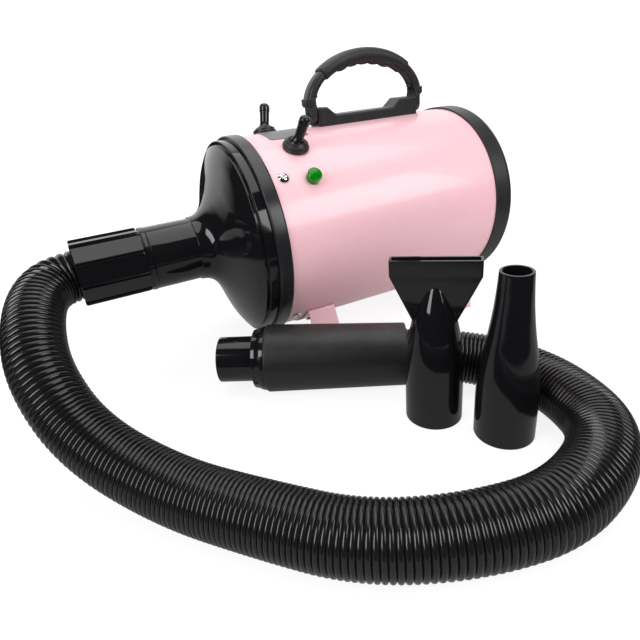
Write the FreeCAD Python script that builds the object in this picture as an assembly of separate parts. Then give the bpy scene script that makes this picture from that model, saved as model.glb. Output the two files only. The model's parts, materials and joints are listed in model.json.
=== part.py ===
# Pet grooming dryer: drum, cone, drop handle, corrugated hose with a hand wand, and two loose nozzles.
# Millimetres. +Z is up, and the floor is z = 0. The drum's axis lies along X, with its outlet towards -X.
# Shapes are drawn from a working origin on the floor, under the front edge of the drum. At the end
# everything is moved so that the origin is the middle of the dryer's and nozzles' footprint.
import FreeCAD, Part
import math
import os
from FreeCAD import Placement, Rotation, Vector

# ---------------------------------------------------------------- driving dimensions
# drum
SHELL_R = 89.0
SHELL_WALL = 1.0
SHELL_LENGTH = 221.0
GROUND_CLEARANCE = 19.6
RING_STANDS_PROUD = 2.2
RING_WIDTH = 12.0
RING_WALL = 3.5

# cone in front of the drum
STEP_ABOVE_RING_BORE = 0.5
STEP_WIDTH = 8.0
LIP_BELOW_STEP = 3.6
BELL_DEPTH = 38.0
NECK_R = 28.3
SPOUT_R = 27.3
SPOUT_LENGTH = 40.0
SPIGOT_R = 24.4
SPIGOT_LENGTH = 38.0
CONE_WALL = 2.6
SKIRT_LENGTH = 28.0
SKIRT_WALL = 3.0

# cap behind the drum
CAP_LENGTH = 22.0
CAP_STANDS_PROUD = 1.6
CAP_EDGE_RADIUS = 7.0
CAP_FACE = 3.0
CAP_WALL = 6.0
CAP_SKIRT_LENGTH = 14.0
GRILLE_BORDER = 18.6
GRILLE_HUB_R = 12.0
GRILLE_SLOT = 5.0
GRILLE_RIB = 4.0
GRILLE_SPOKES = 8
FILTER_THICKNESS = 10.0
RETAINER_THICKNESS = 3.0
CAP_SCREW_INSET = 11.0
CAP_SCREW_R = 2.0

# handle
HANDLE_START = 76.5
HANDLE_LENGTH = 109.5
HANDLE_WIDTH = 20.0
BASE_ABOVE_SHELL = 8.5
EAR_ABOVE_SHELL = 15.8
EAR_LENGTH = 9.0
EAR_RAMP = 9.0
BAIL_HEIGHT = 43.0
BAIL_THICKNESS = 8.5
BAIL_WIDTH = 15.5
CHEEK_THICKNESS = 5.6
GRIP_EXTRA = 1.9
GRIP_HALF_ANGLE = 50.0
PIN_R = 3.0
WAVE_PITCH = 13.0
WAVE_R = 6.2
WAVE_DEPTH = 1.6
ARCH_ABOVE_EARS = 1.0
PIVOT_BELOW_EAR_TOP = 6.8

# switches, label and lamp: the panel is turned a little towards the user's side
PANEL_ANGLE = 6.2
SWITCH_SPREAD = 22.3
SWITCH_STATION = 34.5
BUSHING_R = 5.9
BOOT_R = 11.5
BOOT_HEIGHT = 6.0
LEVER_LENGTH = 26.5
LEVER_R = 3.9
LEVER_LEAN = 14.0
LABEL_START = 19.0
LABEL_LENGTH = 37.0
LABEL_HALF_ANGLE = 11.2
LABEL_THICKNESS = 0.5
LAMP_STATION = 35.0
LAMP_ANGLE = 51.1
LAMP_R = 6.2
LAMP_PROUD = 7.0

# screws that hold the cone in the drum
SHELL_SCREW_STATION = 10.3
SHELL_SCREW_ANGLES = (48.0, 136.5, -48.0, -136.5)
SHELL_SCREW_HEAD_R = 4.8
SHELL_SCREW_HEAD = 2.3
SHELL_SCREW_R = 2.0

# feet
FOOT_WIDTH = 27.0
FOOT_FROM_EDGE = 19.5
FOOT_SHEET = 1.6
FOOT_SPREAD_ANGLE = 46.5
FOOT_SPLAY = 20.0
FOOT_TOE = 16.0
PAD_THICKNESS = 3.0
PAD_R = 6.0

# hose and its cuff
HOSE_R = 21.0
HOSE_WALL = 2.0
CUFF_OVER_SPOUT = 0.3
CUFF_LENGTH = 60.0
CUFF_SHOULDER = 1.6
CUFF_SHOULDER_DEPTH = 2.5
CUFF_PANELS = 9
CUFF_COLLAR = 4.0
HOSE_IN_CUFF = 20.0
SOCKET_CLEARANCE = 0.15
SLIP_CLEARANCE = 0.08

# hand wand, lying on the floor behind the flat nozzle
WAND_REAR_X = 65.5
WAND_REAR_Y = -151.0
WAND_HEADING = -30.5
SLEEVE_LENGTH = 115.6
SLEEVE_FRONT_WALL = 5.5
SLEEVE_REAR_WALL = 2.9
WAND_SOCKET_WALL = 1.85
WAND_SPIGOT_R = 19.1
WAND_SPIGOT_LENGTH = 30.0
WAND_WALL = 2.2
COLLAR_LENGTH = 10.4
COLLAR_BELOW_SLEEVE = 1.2
HOSE_IN_WAND = 15.0

# loose nozzles
NOZZLE_GRIP_WALL = 1.62
NOZZLE_WALL = 1.6
NOZZLE_GRIP = 30.0
ROUND_NOZZLE_X = 82.0
ROUND_NOZZLE_Y = -244.6
ROUND_NOZZLE_HEIGHT = 122.0
ROUND_MOUTH_R = 10.6
FLAT_NOZZLE_X = 55.0
FLAT_NOZZLE_Y = -200.6
FLAT_NOZZLE_HEIGHT = 124.5
FLAT_NOZZLE_HEADING = -41.3
FLAT_MOUTH_WIDTH = 61.0
FLAT_MOUTH_DEPTH = 10.0
FLAT_MOUTH_STRAIGHT = 11.5
BULLET_HEIGHT = 104.0
FAN_START = 64.0

# blower inside the drum
MOTOR_START = 62.0
MOTOR_R = 44.0
MOTOR_LENGTH = 64.0
MOTOR_WALL = 1.5
NOSE_R = 16.0
NOSE_LENGTH = 12.0
SHAFT_R = 4.0
SHAFT_CLEARANCE = 0.04
BEARING_R = 11.0
BEARING_WIDTH = 7.0
STATOR_BORE_R = 28.0
AIR_GAP = 0.7
STATOR_LENGTH = 36.0
COMMUTATOR_R = 12.0
COMMUTATOR_LENGTH = 9.0
FAN_HOUSING_R = 66.0
FAN_HOUSING_LENGTH = 45.0
FAN_HOUSING_WALL = 1.2
IMPELLER_R = 60.0
IMPELLER_WIDTH = 14.0
IMPELLER_BLADES = 7
EYE_R = 24.0
LINER_THICKNESS = 7.0
HEATER_R = 62.0
HEATER_START = 23.0
HEATER_LENGTH = 26.0
BOARD_DEPTH = 9.0
PILLAR_R = 2.4
PILLAR_OFFSET = 10.0

# ---------------------------------------------------------------- derived places
AXIS_Z = SHELL_R + GROUND_CLEARANCE
SHELL_BORE = SHELL_R - SHELL_WALL
RING_R = SHELL_R + RING_STANDS_PROUD
RING_BORE = RING_R - RING_WALL
STEP_R = RING_BORE + STEP_ABOVE_RING_BORE
LIP_R = STEP_R - LIP_BELOW_STEP
STEP_FRONT = -(RING_WIDTH + STEP_WIDTH)
NECK_X = STEP_FRONT - BELL_DEPTH
SPOUT_END = NECK_X - SPOUT_LENGTH
SPIGOT_END = SPOUT_END - SPIGOT_LENGTH
SHELL_END = SHELL_LENGTH
CAP_END = SHELL_END + CAP_LENGTH
CAP_R = SHELL_R + CAP_STANDS_PROUD
CAP_BORE_R = CAP_R - CAP_WALL
GRILLE_R = CAP_BORE_R - GRILLE_BORDER
CAP_SCREW_CIRCLE_R = SHELL_R - CAP_SCREW_INSET
BASE_TOP = SHELL_R + BASE_ABOVE_SHELL
EAR_TOP = SHELL_R + EAR_ABOVE_SHELL
MOTOR_END = MOTOR_START + MOTOR_LENGTH
FAN_HOUSING_END = MOTOR_END + FAN_HOUSING_LENGTH
PIVOT_Z = AXIS_Z + EAR_TOP - PIVOT_BELOW_EAR_TOP
ARCH_Z = AXIS_Z + EAR_TOP + ARCH_ABOVE_EARS
HANDLE_END = HANDLE_START + HANDLE_LENGTH
HANDLE_MIDDLE = HANDLE_START + HANDLE_LENGTH / 2
CHEEK_GAP = 0.4
CUFF_END = SPOUT_END - CUFF_LENGTH
CUFF_R = SPOUT_R + CUFF_OVER_SPOUT
CUFF_SHOULDER_R = HOSE_R - CUFF_SHOULDER_DEPTH
WAND_TUBE_R = HOSE_R + SOCKET_CLEARANCE + WAND_SOCKET_WALL
SLEEVE_FRONT_R = WAND_TUBE_R + SLEEVE_FRONT_WALL
SLEEVE_REAR_R = WAND_TUBE_R + SLEEVE_REAR_WALL
COLLAR_R = SLEEVE_FRONT_R - COLLAR_BELOW_SLEEVE
NOZZLE_R = WAND_SPIGOT_R + SLIP_CLEARANCE + NOZZLE_GRIP_WALL
TOUCH = 0.02
X_AXIS = Vector(1, 0, 0)
Y_AXIS = Vector(0, 1, 0)
Z_AXIS = Vector(0, 0, 1)

parts = {}


# ---------------------------------------------------------------- helpers
def on_axis(x, r=0.0, angle=0.0):
    """A point at station x, r from the drum's axis, at an angle from the top towards the user (-Y)."""
    a = math.radians(angle)
    return Vector(x, -r * math.sin(a), AXIS_Z + r * math.cos(a))


def outward(angle):
    a = math.radians(angle)
    return Vector(0, -math.sin(a), math.cos(a))


def around(angle):
    """Direction round the drum at that angle, square to X and to outward()."""
    a = math.radians(angle)
    return Vector(0, math.cos(a), math.sin(a))


def rod(r, start, direction, length):
    return Part.makeCylinder(r, length, start, direction)


def pipe(r_out, r_in, x0, x1):
    outer = rod(r_out, on_axis(x0), X_AXIS, x1 - x0)
    return outer.cut(rod(r_in, on_axis(x0 - 1), X_AXIS, x1 - x0 + 2))


def disc(r, x0, x1):
    return rod(r, on_axis(x0), X_AXIS, x1 - x0)


def edges_of(points):
    vectors = [Vector(x, 0, r) for x, r in points]
    return [Part.LineSegment(a, b).toShape() for a, b in zip(vectors, vectors[1:])]


def curve_of(points):
    curve = Part.BSplineCurve()
    curve.interpolate([Vector(x, 0, r) for x, r in points])
    return [curve.toShape()]


def turned(*pieces):
    """A solid of revolution about X through z = 0, from edges that run on from each other."""
    edges = [edge for piece in pieces for edge in piece]
    face = Part.Face(Part.Wire(Part.__sortEdges__(edges)))
    return face.revolve(Vector(0, 0, 0), X_AXIS, 360)


def offset_inwards(points, distance):
    """The same outline moved square to itself, towards the axis."""
    moved = []
    for i, (x, r) in enumerate(points):
        x0, r0 = points[max(i - 1, 0)]
        x1, r1 = points[min(i + 1, len(points) - 1)]
        length = math.hypot(x1 - x0, r1 - r0)
        moved.append((x + distance * (r1 - r0) / length, r - distance * (x1 - x0) / length))
    return moved


def lifted(shape, z=AXIS_Z):
    shape.translate(Vector(0, 0, z))
    return shape


def grouped(shapes):
    return Part.makeCompound(shapes)


def joined(shapes):
    return shapes[0].multiFuse(shapes[1:]).removeSplitter()


def add(name, shape):
    parts[name] = shape


# ---------------------------------------------------------------- drum
def body_shell():
    shell = pipe(SHELL_R, SHELL_BORE, 0, SHELL_LENGTH)
    holes = []
    for angle in SHELL_SCREW_ANGLES:
        start = on_axis(SHELL_SCREW_STATION, SHELL_R - 5, angle)
        holes.append(rod(SHELL_SCREW_R + 0.2, start, outward(angle), 8))
    for angle in switch_angles():
        holes.append(rod(BUSHING_R + 0.1, on_axis(SWITCH_STATION, SHELL_R - 5, angle), outward(angle), 8))
    holes.append(rod(LAMP_R - 1.2, on_axis(LAMP_STATION, SHELL_R - 5, LAMP_ANGLE), outward(LAMP_ANGLE), 8))
    for x in handle_screw_stations():
        holes.append(rod(2.2, on_axis(x, SHELL_R - 5), Z_AXIS, 8))
    for x in foot_stations():
        for side in (-1, 1):
            angle = 180 + side * FOOT_SPREAD_ANGLE / 2
            holes.append(rod(2.2, on_axis(x, SHELL_R - 5, angle), outward(angle), 8))
    return shell.cut(grouped(holes))


def front_ring():
    ring = pipe(RING_R, RING_BORE, -RING_WIDTH, 0)
    sharp = [e for e in ring.Edges if abs(e.BoundBox.XMin - e.BoundBox.XMax) < 1e-6
             and e.BoundBox.ZLength > 2 * RING_R - 0.1]
    return ring.makeFillet(0.9, sharp)


def bell_outline():
    """The trumpet's outer line, from the neck to just under the lip."""
    span = BELL_DEPTH - 3.0
    rise = LIP_R - 1.4 - NECK_R
    shape = ((0.0, 0.0), (0.2, 0.025), (0.38, 0.11), (0.52, 0.26),
             (0.64, 0.45), (0.76, 0.67), (0.88, 0.86), (1.0, 1.0))
    return [(NECK_X + span * along, NECK_R + rise * up) for along, up in shape]


def front_cone():
    bell = bell_outline()
    inside = offset_inwards(bell, CONE_WALL)
    lip_x = bell[-1][0]
    outer = curve_of(bell)
    outer += edges_of([bell[-1], (lip_x + 0.8, LIP_R), (STEP_FRONT, LIP_R), (STEP_FRONT, STEP_R),
                       (-RING_WIDTH - TOUCH, STEP_R), (-RING_WIDTH - TOUCH, RING_BORE - 0.1),
                       (SKIRT_LENGTH - RING_WIDTH, RING_BORE - 0.1),
                       (SKIRT_LENGTH - RING_WIDTH, RING_BORE - 0.1 - SKIRT_WALL),
                       (STEP_FRONT + 2.0, RING_BORE - 0.1 - SKIRT_WALL), inside[-1]])
    inner = curve_of(inside[::-1])
    spigot_bore = SPIGOT_R - CONE_WALL
    outer += edges_of([inside[0], (SPOUT_END, SPOUT_R - CONE_WALL - 2.0), (SPIGOT_END, spigot_bore),
                       (SPIGOT_END, SPIGOT_R - 0.8), (SPIGOT_END + 0.8, SPIGOT_R), (SPOUT_END, SPIGOT_R),
                       (SPOUT_END, SPOUT_R), bell[0]])
    cone = lifted(turned(outer, inner))
    holes = [rod(SHELL_SCREW_R, on_axis(SHELL_SCREW_STATION, RING_BORE - 6, angle), outward(angle), 12)
             for angle in SHELL_SCREW_ANGLES]
    return cone.cut(grouped(holes))


def shell_screws():
    screws = []
    for angle in SHELL_SCREW_ANGLES:
        seat = on_axis(SHELL_SCREW_STATION, SHELL_R + 0.05, angle)
        way = outward(angle)
        head = rod(SHELL_SCREW_HEAD_R, seat, way, SHELL_SCREW_HEAD)
        rim = [e for e in head.Edges if (e.CenterOfMass - seat).dot(way) > SHELL_SCREW_HEAD - 0.01]
        head = head.makeFillet(SHELL_SCREW_HEAD * 0.8, rim)
        top = seat + way * SHELL_SCREW_HEAD
        for long_side, short_side in ((X_AXIS, around(angle)), (around(angle), X_AXIS)):
            slot = Part.makeBox(5.2, 0.9, 1.4)
            slot.Placement = Placement(Vector(), Rotation(long_side, short_side, way, "ZXY"))
            slot.translate(top - slot.CenterOfMass)
            head = head.cut(slot)
        shank = rod(SHELL_SCREW_R, seat + way * 0.2, way * -1, 7.0)
        screws.append(head.fuse(shank))
    return grouped(screws)


# ---------------------------------------------------------------- rear cap and intake
def cap_screw_angles():
    return (45, 135, 225, 315)


def rear_cap():
    body = disc(CAP_R, SHELL_END + TOUCH, CAP_END)
    rim = [e for e in body.Edges if e.BoundBox.XMin > CAP_END - 0.01 and e.BoundBox.XLength < 0.01]
    body = body.makeFillet(CAP_EDGE_RADIUS, rim)
    body = body.fuse(disc(SHELL_BORE - 0.2, SHELL_END - CAP_SKIRT_LENGTH, SHELL_END + 1))
    body = body.cut(disc(CAP_BORE_R, SHELL_END - CAP_SKIRT_LENGTH - 1, CAP_END - CAP_FACE))
    slots = []
    r = GRILLE_HUB_R
    while r + GRILLE_SLOT <= GRILLE_R:
        slots.append(pipe(r + GRILLE_SLOT, r, CAP_END - CAP_FACE - 1, CAP_END + 1))
        r += GRILLE_SLOT + GRILLE_RIB
    spokes = []
    for i in range(GRILLE_SPOKES):
        angle = 360.0 * i / GRILLE_SPOKES
        spoke = Part.makeBox(CAP_FACE + 4, 4.0, GRILLE_R + 2, Vector(CAP_END - CAP_FACE - 2, -2.0, AXIS_Z))
        spoke.rotate(on_axis(0), X_AXIS, angle)
        spokes.append(spoke)
    body = body.cut(grouped(slots).cut(grouped(spokes)))
    posts = []
    for angle in cap_screw_angles():
        foot = on_axis(SHELL_END - CAP_SKIRT_LENGTH, CAP_SCREW_CIRCLE_R, angle)
        posts.append(rod(5.0, foot, X_AXIS, CAP_SKIRT_LENGTH + CAP_LENGTH - 1))
    body = body.multiFuse(posts)
    holes = [rod(CAP_SCREW_R + 0.2, on_axis(0, CAP_SCREW_CIRCLE_R, a), X_AXIS, CAP_END + 5)
             for a in cap_screw_angles()]
    sinks = [rod(4.2, on_axis(CAP_END - 2.4, CAP_SCREW_CIRCLE_R, a), X_AXIS, 9) for a in cap_screw_angles()]
    holes.append(rod(6.0, on_axis(CAP_END - 8, gland_radius(), 180), X_AXIS, 12))
    return body.cut(grouped(holes + sinks))


def gland_radius():
    return (GRILLE_R + CAP_BORE_R) / 2 - 0.5


def post_clearance_holes(x0, x1):
    holes = [rod(5.3, on_axis(x0 - 1, CAP_SCREW_CIRCLE_R, a), X_AXIS, x1 - x0 + 2)
             for a in cap_screw_angles()]
    holes.append(rod(10.0, on_axis(x0 - 1, gland_radius(), 180), X_AXIS, x1 - x0 + 2))
    return grouped(holes)


def intake_filter():
    x1 = CAP_END - CAP_FACE - TOUCH
    x0 = x1 - FILTER_THICKNESS
    return disc(CAP_BORE_R - 0.2, x0, x1).cut(post_clearance_holes(x0, x1))


def filter_retainer():
    x1 = CAP_END - CAP_FACE - FILTER_THICKNESS - 2 * TOUCH
    x0 = x1 - RETAINER_THICKNESS
    rim = pipe(CAP_BORE_R - 0.05, CAP_BORE_R - 14, x0, x1)
    bars = [Part.makeBox(x1 - x0, 3.0, 2 * CAP_BORE_R - 20, Vector(x0, y - 1.5, AXIS_Z - CAP_BORE_R + 10))
            for y in (-36, 0, 36)]
    inside = disc(CAP_BORE_R - 12, x0, x1)
    return joined([rim] + [b.common(inside) for b in bars]).cut(post_clearance_holes(x0, x1))


def rear_ring():
    x1 = SHELL_END - CAP_SKIRT_LENGTH - TOUCH
    ring = pipe(SHELL_BORE - TOUCH, CAP_SCREW_CIRCLE_R - 8, x1 - 2.0, x1)
    holes = [rod(CAP_SCREW_R, on_axis(x1 - 3, CAP_SCREW_CIRCLE_R, a), X_AXIS, 4) for a in cap_screw_angles()]
    return ring.cut(grouped(holes))


def cap_screws():
    screws = []
    seat_x = CAP_END - 2.4
    tip_x = SHELL_END - CAP_SKIRT_LENGTH - 2.6
    for angle in cap_screw_angles():
        seat = on_axis(seat_x + TOUCH, CAP_SCREW_CIRCLE_R, angle)
        tip = on_axis(tip_x, CAP_SCREW_CIRCLE_R, angle)
        shank = rod(CAP_SCREW_R - 0.02, tip, X_AXIS, seat_x - tip_x + 0.5)
        screws.append(rod(4.0, seat, X_AXIS, 2.0).fuse(shank))
    return grouped(screws)


def cable_gland():
    seat = on_axis(CAP_END + TOUCH, gland_radius(), 180)
    nut = rod(8.0, seat, X_AXIS, 4.0)
    nose = Part.makeCone(6.5, 4.6, 8.0, seat + X_AXIS * 4.0, X_AXIS)
    thread = rod(5.9, seat - X_AXIS * 9.0, X_AXIS, 9.5)
    lock = rod(8.0, seat - X_AXIS * (CAP_FACE + 4.0), X_AXIS, 4.0 - 0.1)
    gland = joined([nut, nose, thread, lock])
    return gland.cut(rod(3.6, seat - X_AXIS * 12, X_AXIS, 40))


# ---------------------------------------------------------------- handle
def handle_screw_stations():
    return (HANDLE_START + 22.0, HANDLE_END - 22.0)


def handle_base():
    w = HANDLE_WIDTH / 2
    outline = [(HANDLE_START, AXIS_Z + 60), (HANDLE_START, AXIS_Z + EAR_TOP),
               (HANDLE_START + EAR_LENGTH, AXIS_Z + EAR_TOP),
               (HANDLE_START + EAR_LENGTH + EAR_RAMP, AXIS_Z + BASE_TOP),
               (HANDLE_END - EAR_LENGTH - 10 - EAR_RAMP, AXIS_Z + BASE_TOP),
               (HANDLE_END - EAR_LENGTH - 10, AXIS_Z + EAR_TOP),
               (HANDLE_END, AXIS_Z + EAR_TOP), (HANDLE_END, AXIS_Z + 60)]
    points = [Vector(x, -w, z) for x, z in outline]
    face = Part.Face(Part.makePolygon(points + points[:1]))
    bar = face.extrude(Vector(0, 2 * w, 0))
    long_edges = [e for e in bar.Edges
                  if e.BoundBox.YLength < 0.01 and e.BoundBox.ZMin > AXIS_Z + BASE_TOP - 0.1]
    bar = bar.makeFillet(1.6, long_edges)
    bar = bar.cut(disc(SHELL_R + 0.02, HANDLE_START - 5, HANDLE_END + 5))
    bores = [rod(PIN_R, Vector(HANDLE_START - 1, 0, PIVOT_Z), X_AXIS, EAR_LENGTH + 1),
             rod(PIN_R, Vector(HANDLE_END - EAR_LENGTH, 0, PIVOT_Z), X_AXIS, EAR_LENGTH + 1)]
    bores += [rod(1.6, on_axis(x, SHELL_R - 1), Z_AXIS, 6.5) for x in handle_screw_stations()]
    return bar.cut(grouped(bores))


def handle_screws():
    screws = []
    for x in handle_screw_stations():
        seat = on_axis(x, SHELL_BORE - 0.6)
        head = rod(3.6, seat - Z_AXIS * 2.4, Z_AXIS, 2.4)
        screws.append(joined([head, rod(1.58, seat - Z_AXIS * 0.5, Z_AXIS, 7.0)]))
    return grouped(screws)


def handle_pins():
    length = CHEEK_THICKNESS + CHEEK_GAP + EAR_LENGTH - 1.0
    front = rod(PIN_R - 0.01, Vector(HANDLE_START - CHEEK_GAP - CHEEK_THICKNESS, 0, PIVOT_Z), X_AXIS, length)
    rear = rod(PIN_R - 0.01, Vector(HANDLE_END + CHEEK_GAP + CHEEK_THICKNESS, 0, PIVOT_Z), X_AXIS * -1,
               length)
    return grouped([front, rear])


def bail_half_span():
    return HANDLE_LENGTH / 2 + CHEEK_GAP + BAIL_THICKNESS / 2


def swept_over_handle(thick, wide, corner):
    """A rounded bar swept along half an ellipse over the handle, from cheek to cheek."""
    half_span = bail_half_span()
    arch = Part.Ellipse(Vector(0, 0, 0), half_span, BAIL_HEIGHT - BAIL_THICKNESS / 2)
    arc = arch.toShape(0, math.pi)
    arc.Placement = Placement(Vector(HANDLE_MIDDLE, 0, ARCH_Z), Rotation(X_AXIS, 90))
    start = Vector(HANDLE_MIDDLE + half_span, 0, ARCH_Z)
    section = rounded_section(start, Z_AXIS, Y_AXIS, thick, wide, corner)
    return Part.Wire([arc]).makePipeShell([section], True, False)


def rounded_section(centre, tangent, side, thick, wide, corner):
    """A rounded rectangle, thick along the sweep's normal and wide along side."""
    normal = tangent.cross(side)
    a, b = thick / 2, wide / 2
    corners = []
    for sx, sy in ((-1, -1), (1, -1), (1, 1), (-1, 1)):
        corners.append(centre + normal * (sx * a) + side * (sy * b))
    wire = Part.makePolygon(corners + corners[:1])
    face = Part.Face(wire)
    block = face.extrude(tangent * 1.0)
    rims = [e for e in block.Edges
            if abs(abs((e.Vertexes[1].Point - e.Vertexes[0].Point).dot(tangent)) - 1.0) < 1e-6]
    block = block.makeFillet(corner, rims)
    for f in block.Faces:
        if abs((f.CenterOfMass - centre).dot(tangent)) < 1e-6:
            return f.OuterWire
    return wire


def bail_arch():
    return swept_over_handle(BAIL_THICKNESS, BAIL_WIDTH, 3.8)


def handle_bail():
    cheeks = []
    for side, face_x in ((-1, HANDLE_START - CHEEK_GAP), (1, HANDLE_END + CHEEK_GAP)):
        x0 = face_x - CHEEK_THICKNESS if side < 0 else face_x
        slab = Part.makeBox(CHEEK_THICKNESS, BAIL_WIDTH, ARCH_Z + 0.5 - PIVOT_Z,
                            Vector(x0, -BAIL_WIDTH / 2, PIVOT_Z))
        eye = rod(BAIL_WIDTH / 2, Vector(x0, 0, PIVOT_Z), X_AXIS, CHEEK_THICKNESS)
        cheeks.append(joined([slab, eye]))
    bail = joined([bail_arch()] + cheeks)
    bore = rod(PIN_R + 0.05, Vector(HANDLE_START - 20, 0, PIVOT_Z), X_AXIS, HANDLE_LENGTH + 40)
    return bail.cut(bore)


def handle_grip():
    """The soft overmould round the middle of the bail, with finger waves underneath."""
    half_span = bail_half_span()
    sleeve = swept_over_handle(BAIL_THICKNESS + 2 * GRIP_EXTRA, BAIL_WIDTH + 2 * GRIP_EXTRA, 5.2)
    waves = []
    for step in (-2, -1, 0, 1, 2):
        x = HANDLE_MIDDLE + step * WAVE_PITCH
        along = (x - HANDLE_MIDDLE) / half_span
        z = ARCH_Z + (BAIL_HEIGHT - BAIL_THICKNESS / 2) * math.sqrt(1 - along * along)
        under = z - BAIL_THICKNESS / 2 - GRIP_EXTRA - WAVE_DEPTH
        waves.append(rod(WAVE_R, Vector(x, -BAIL_WIDTH / 2 + 1.5, under + WAVE_R), Y_AXIS, BAIL_WIDTH - 3.0))
    sleeve = sleeve.multiFuse(waves)
    half_length = half_span * math.sin(math.radians(GRIP_HALF_ANGLE))
    keep = Part.makeBox(2 * half_length, 60, 80, Vector(HANDLE_MIDDLE - half_length, -30, ARCH_Z))
    return sleeve.common(keep).cut(bail_arch())


# ---------------------------------------------------------------- switches, lamp and label
def switch_angles():
    return (PANEL_ANGLE + SWITCH_SPREAD, PANEL_ANGLE - SWITCH_SPREAD)


def switch_parts(number, angle):
    way = outward(angle)
    base = on_axis(SWITCH_STATION, SHELL_R, angle)
    under = on_axis(SWITCH_STATION, SHELL_BORE - 1.2, angle)
    pivot = base + way * 2.0
    bushing = rod(BUSHING_R, under - way * 1.0, way, 6.0)
    body = joined([block_at(under, angle, 26.0, 15.0, 16.0), bushing])
    body = body.cut(Part.makeCone(2.6, 5.0, 9.0, pivot - way * 3.0, way))
    body = body.cut(Part.makeSphere(3.0, pivot))
    add("switch_%d_body" % number, body)

    flange = rod(BOOT_R, base + way * 0.9, way, BOOT_HEIGHT)
    top = [e for e in flange.Edges if (e.CenterOfMass - base).dot(way) > BOOT_HEIGHT + 0.8]
    flange = flange.makeFillet(3.0, top)
    flange = flange.cut(rod(BUSHING_R + 0.02, base - way * 1.0, way, 4.7))
    flange = flange.cut(rod(LEVER_R + 2.4, base, way, 12.0))
    add("switch_%d_boot" % number, flange)

    lean = math.radians(LEVER_LEAN)
    along = way * math.cos(lean) + X_AXIS * math.sin(lean)
    ball = Part.makeSphere(2.6, pivot)
    stem = Part.makeCone(2.0, LEVER_R, 7.0, pivot, along)
    finger = Part.makeCone(LEVER_R - 0.6, LEVER_R, LEVER_LENGTH - 7.0 - LEVER_R - 2.0, pivot + along * 7.0,
                           along)
    tip = Part.makeSphere(LEVER_R, pivot + along * (LEVER_LENGTH - LEVER_R - 2.0))
    add("switch_%d_lever" % number, joined([ball, stem, finger, tip]))
    return pivot


def block_at(top, angle, length, width, height):
    """A block along X whose top face's middle is at top, square to outward(angle)."""
    way, side = outward(angle), around(angle)
    corners = [top + X_AXIS * (sx * length / 2) + side * (sy * width / 2)
               for sx, sy in ((-1, -1), (1, -1), (1, 1), (-1, 1))]
    face = Part.Face(Part.makePolygon(corners + corners[:1]))
    return face.extrude(way * -height)


def label_plate():
    band = pipe(SHELL_R + 0.02 + LABEL_THICKNESS, SHELL_R + 0.02, LABEL_START, LABEL_START + LABEL_LENGTH)
    edge = 140.0
    points = [on_axis(LABEL_START - 1, 0.0)]
    for angle in (PANEL_ANGLE - LABEL_HALF_ANGLE, PANEL_ANGLE + LABEL_HALF_ANGLE):
        points.append(on_axis(LABEL_START - 1, edge, angle))
    wedge = Part.Face(Part.makePolygon(points + points[:1])).extrude(X_AXIS * (LABEL_LENGTH + 2))
    return band.common(wedge)


def pilot_lamp():
    way = outward(LAMP_ANGLE)
    seat = on_axis(LAMP_STATION, SHELL_R - 0.25, LAMP_ANGLE)
    lens = rod(LAMP_R, seat, way, LAMP_PROUD + 0.25)
    lens = lens.cut(disc(SHELL_R + 0.01, 0, SHELL_LENGTH))
    rim = [e for e in lens.Edges if (e.CenterOfMass - seat).dot(way) > LAMP_PROUD]
    lens = lens.makeFillet(1.0, rim)
    lens = lens.cut(rod(LAMP_R - 1.5, on_axis(LAMP_STATION, SHELL_R - 2, LAMP_ANGLE), way, LAMP_PROUD + 0.5))
    add("lamp_lens", lens)
    holder = rod(LAMP_R - 1.55, on_axis(LAMP_STATION, SHELL_R - 18, LAMP_ANGLE), way, 21.0)
    nut = rod(LAMP_R + 1.0, on_axis(LAMP_STATION, SHELL_BORE - 4.6, LAMP_ANGLE), way, 3.4)
    add("lamp_holder", joined([holder, nut]))


# ---------------------------------------------------------------- feet
def foot_stations():
    return (FOOT_FROM_EDGE + FOOT_WIDTH / 2, SHELL_LENGTH - FOOT_FROM_EDGE - FOOT_WIDTH / 2)


def foot_leg_points(side):
    """Outer line of one leg: at the saddle, at the floor bend and at the toe."""
    top = on_axis(0, SHELL_R + 0.02 + FOOT_SHEET, 180 - side * FOOT_SPREAD_ANGLE)
    height = top.z - PAD_THICKNESS
    bend_y = top.y - side * height * math.tan(math.radians(FOOT_SPLAY))
    return top.y, top.z, bend_y, bend_y + side * FOOT_TOE


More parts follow.
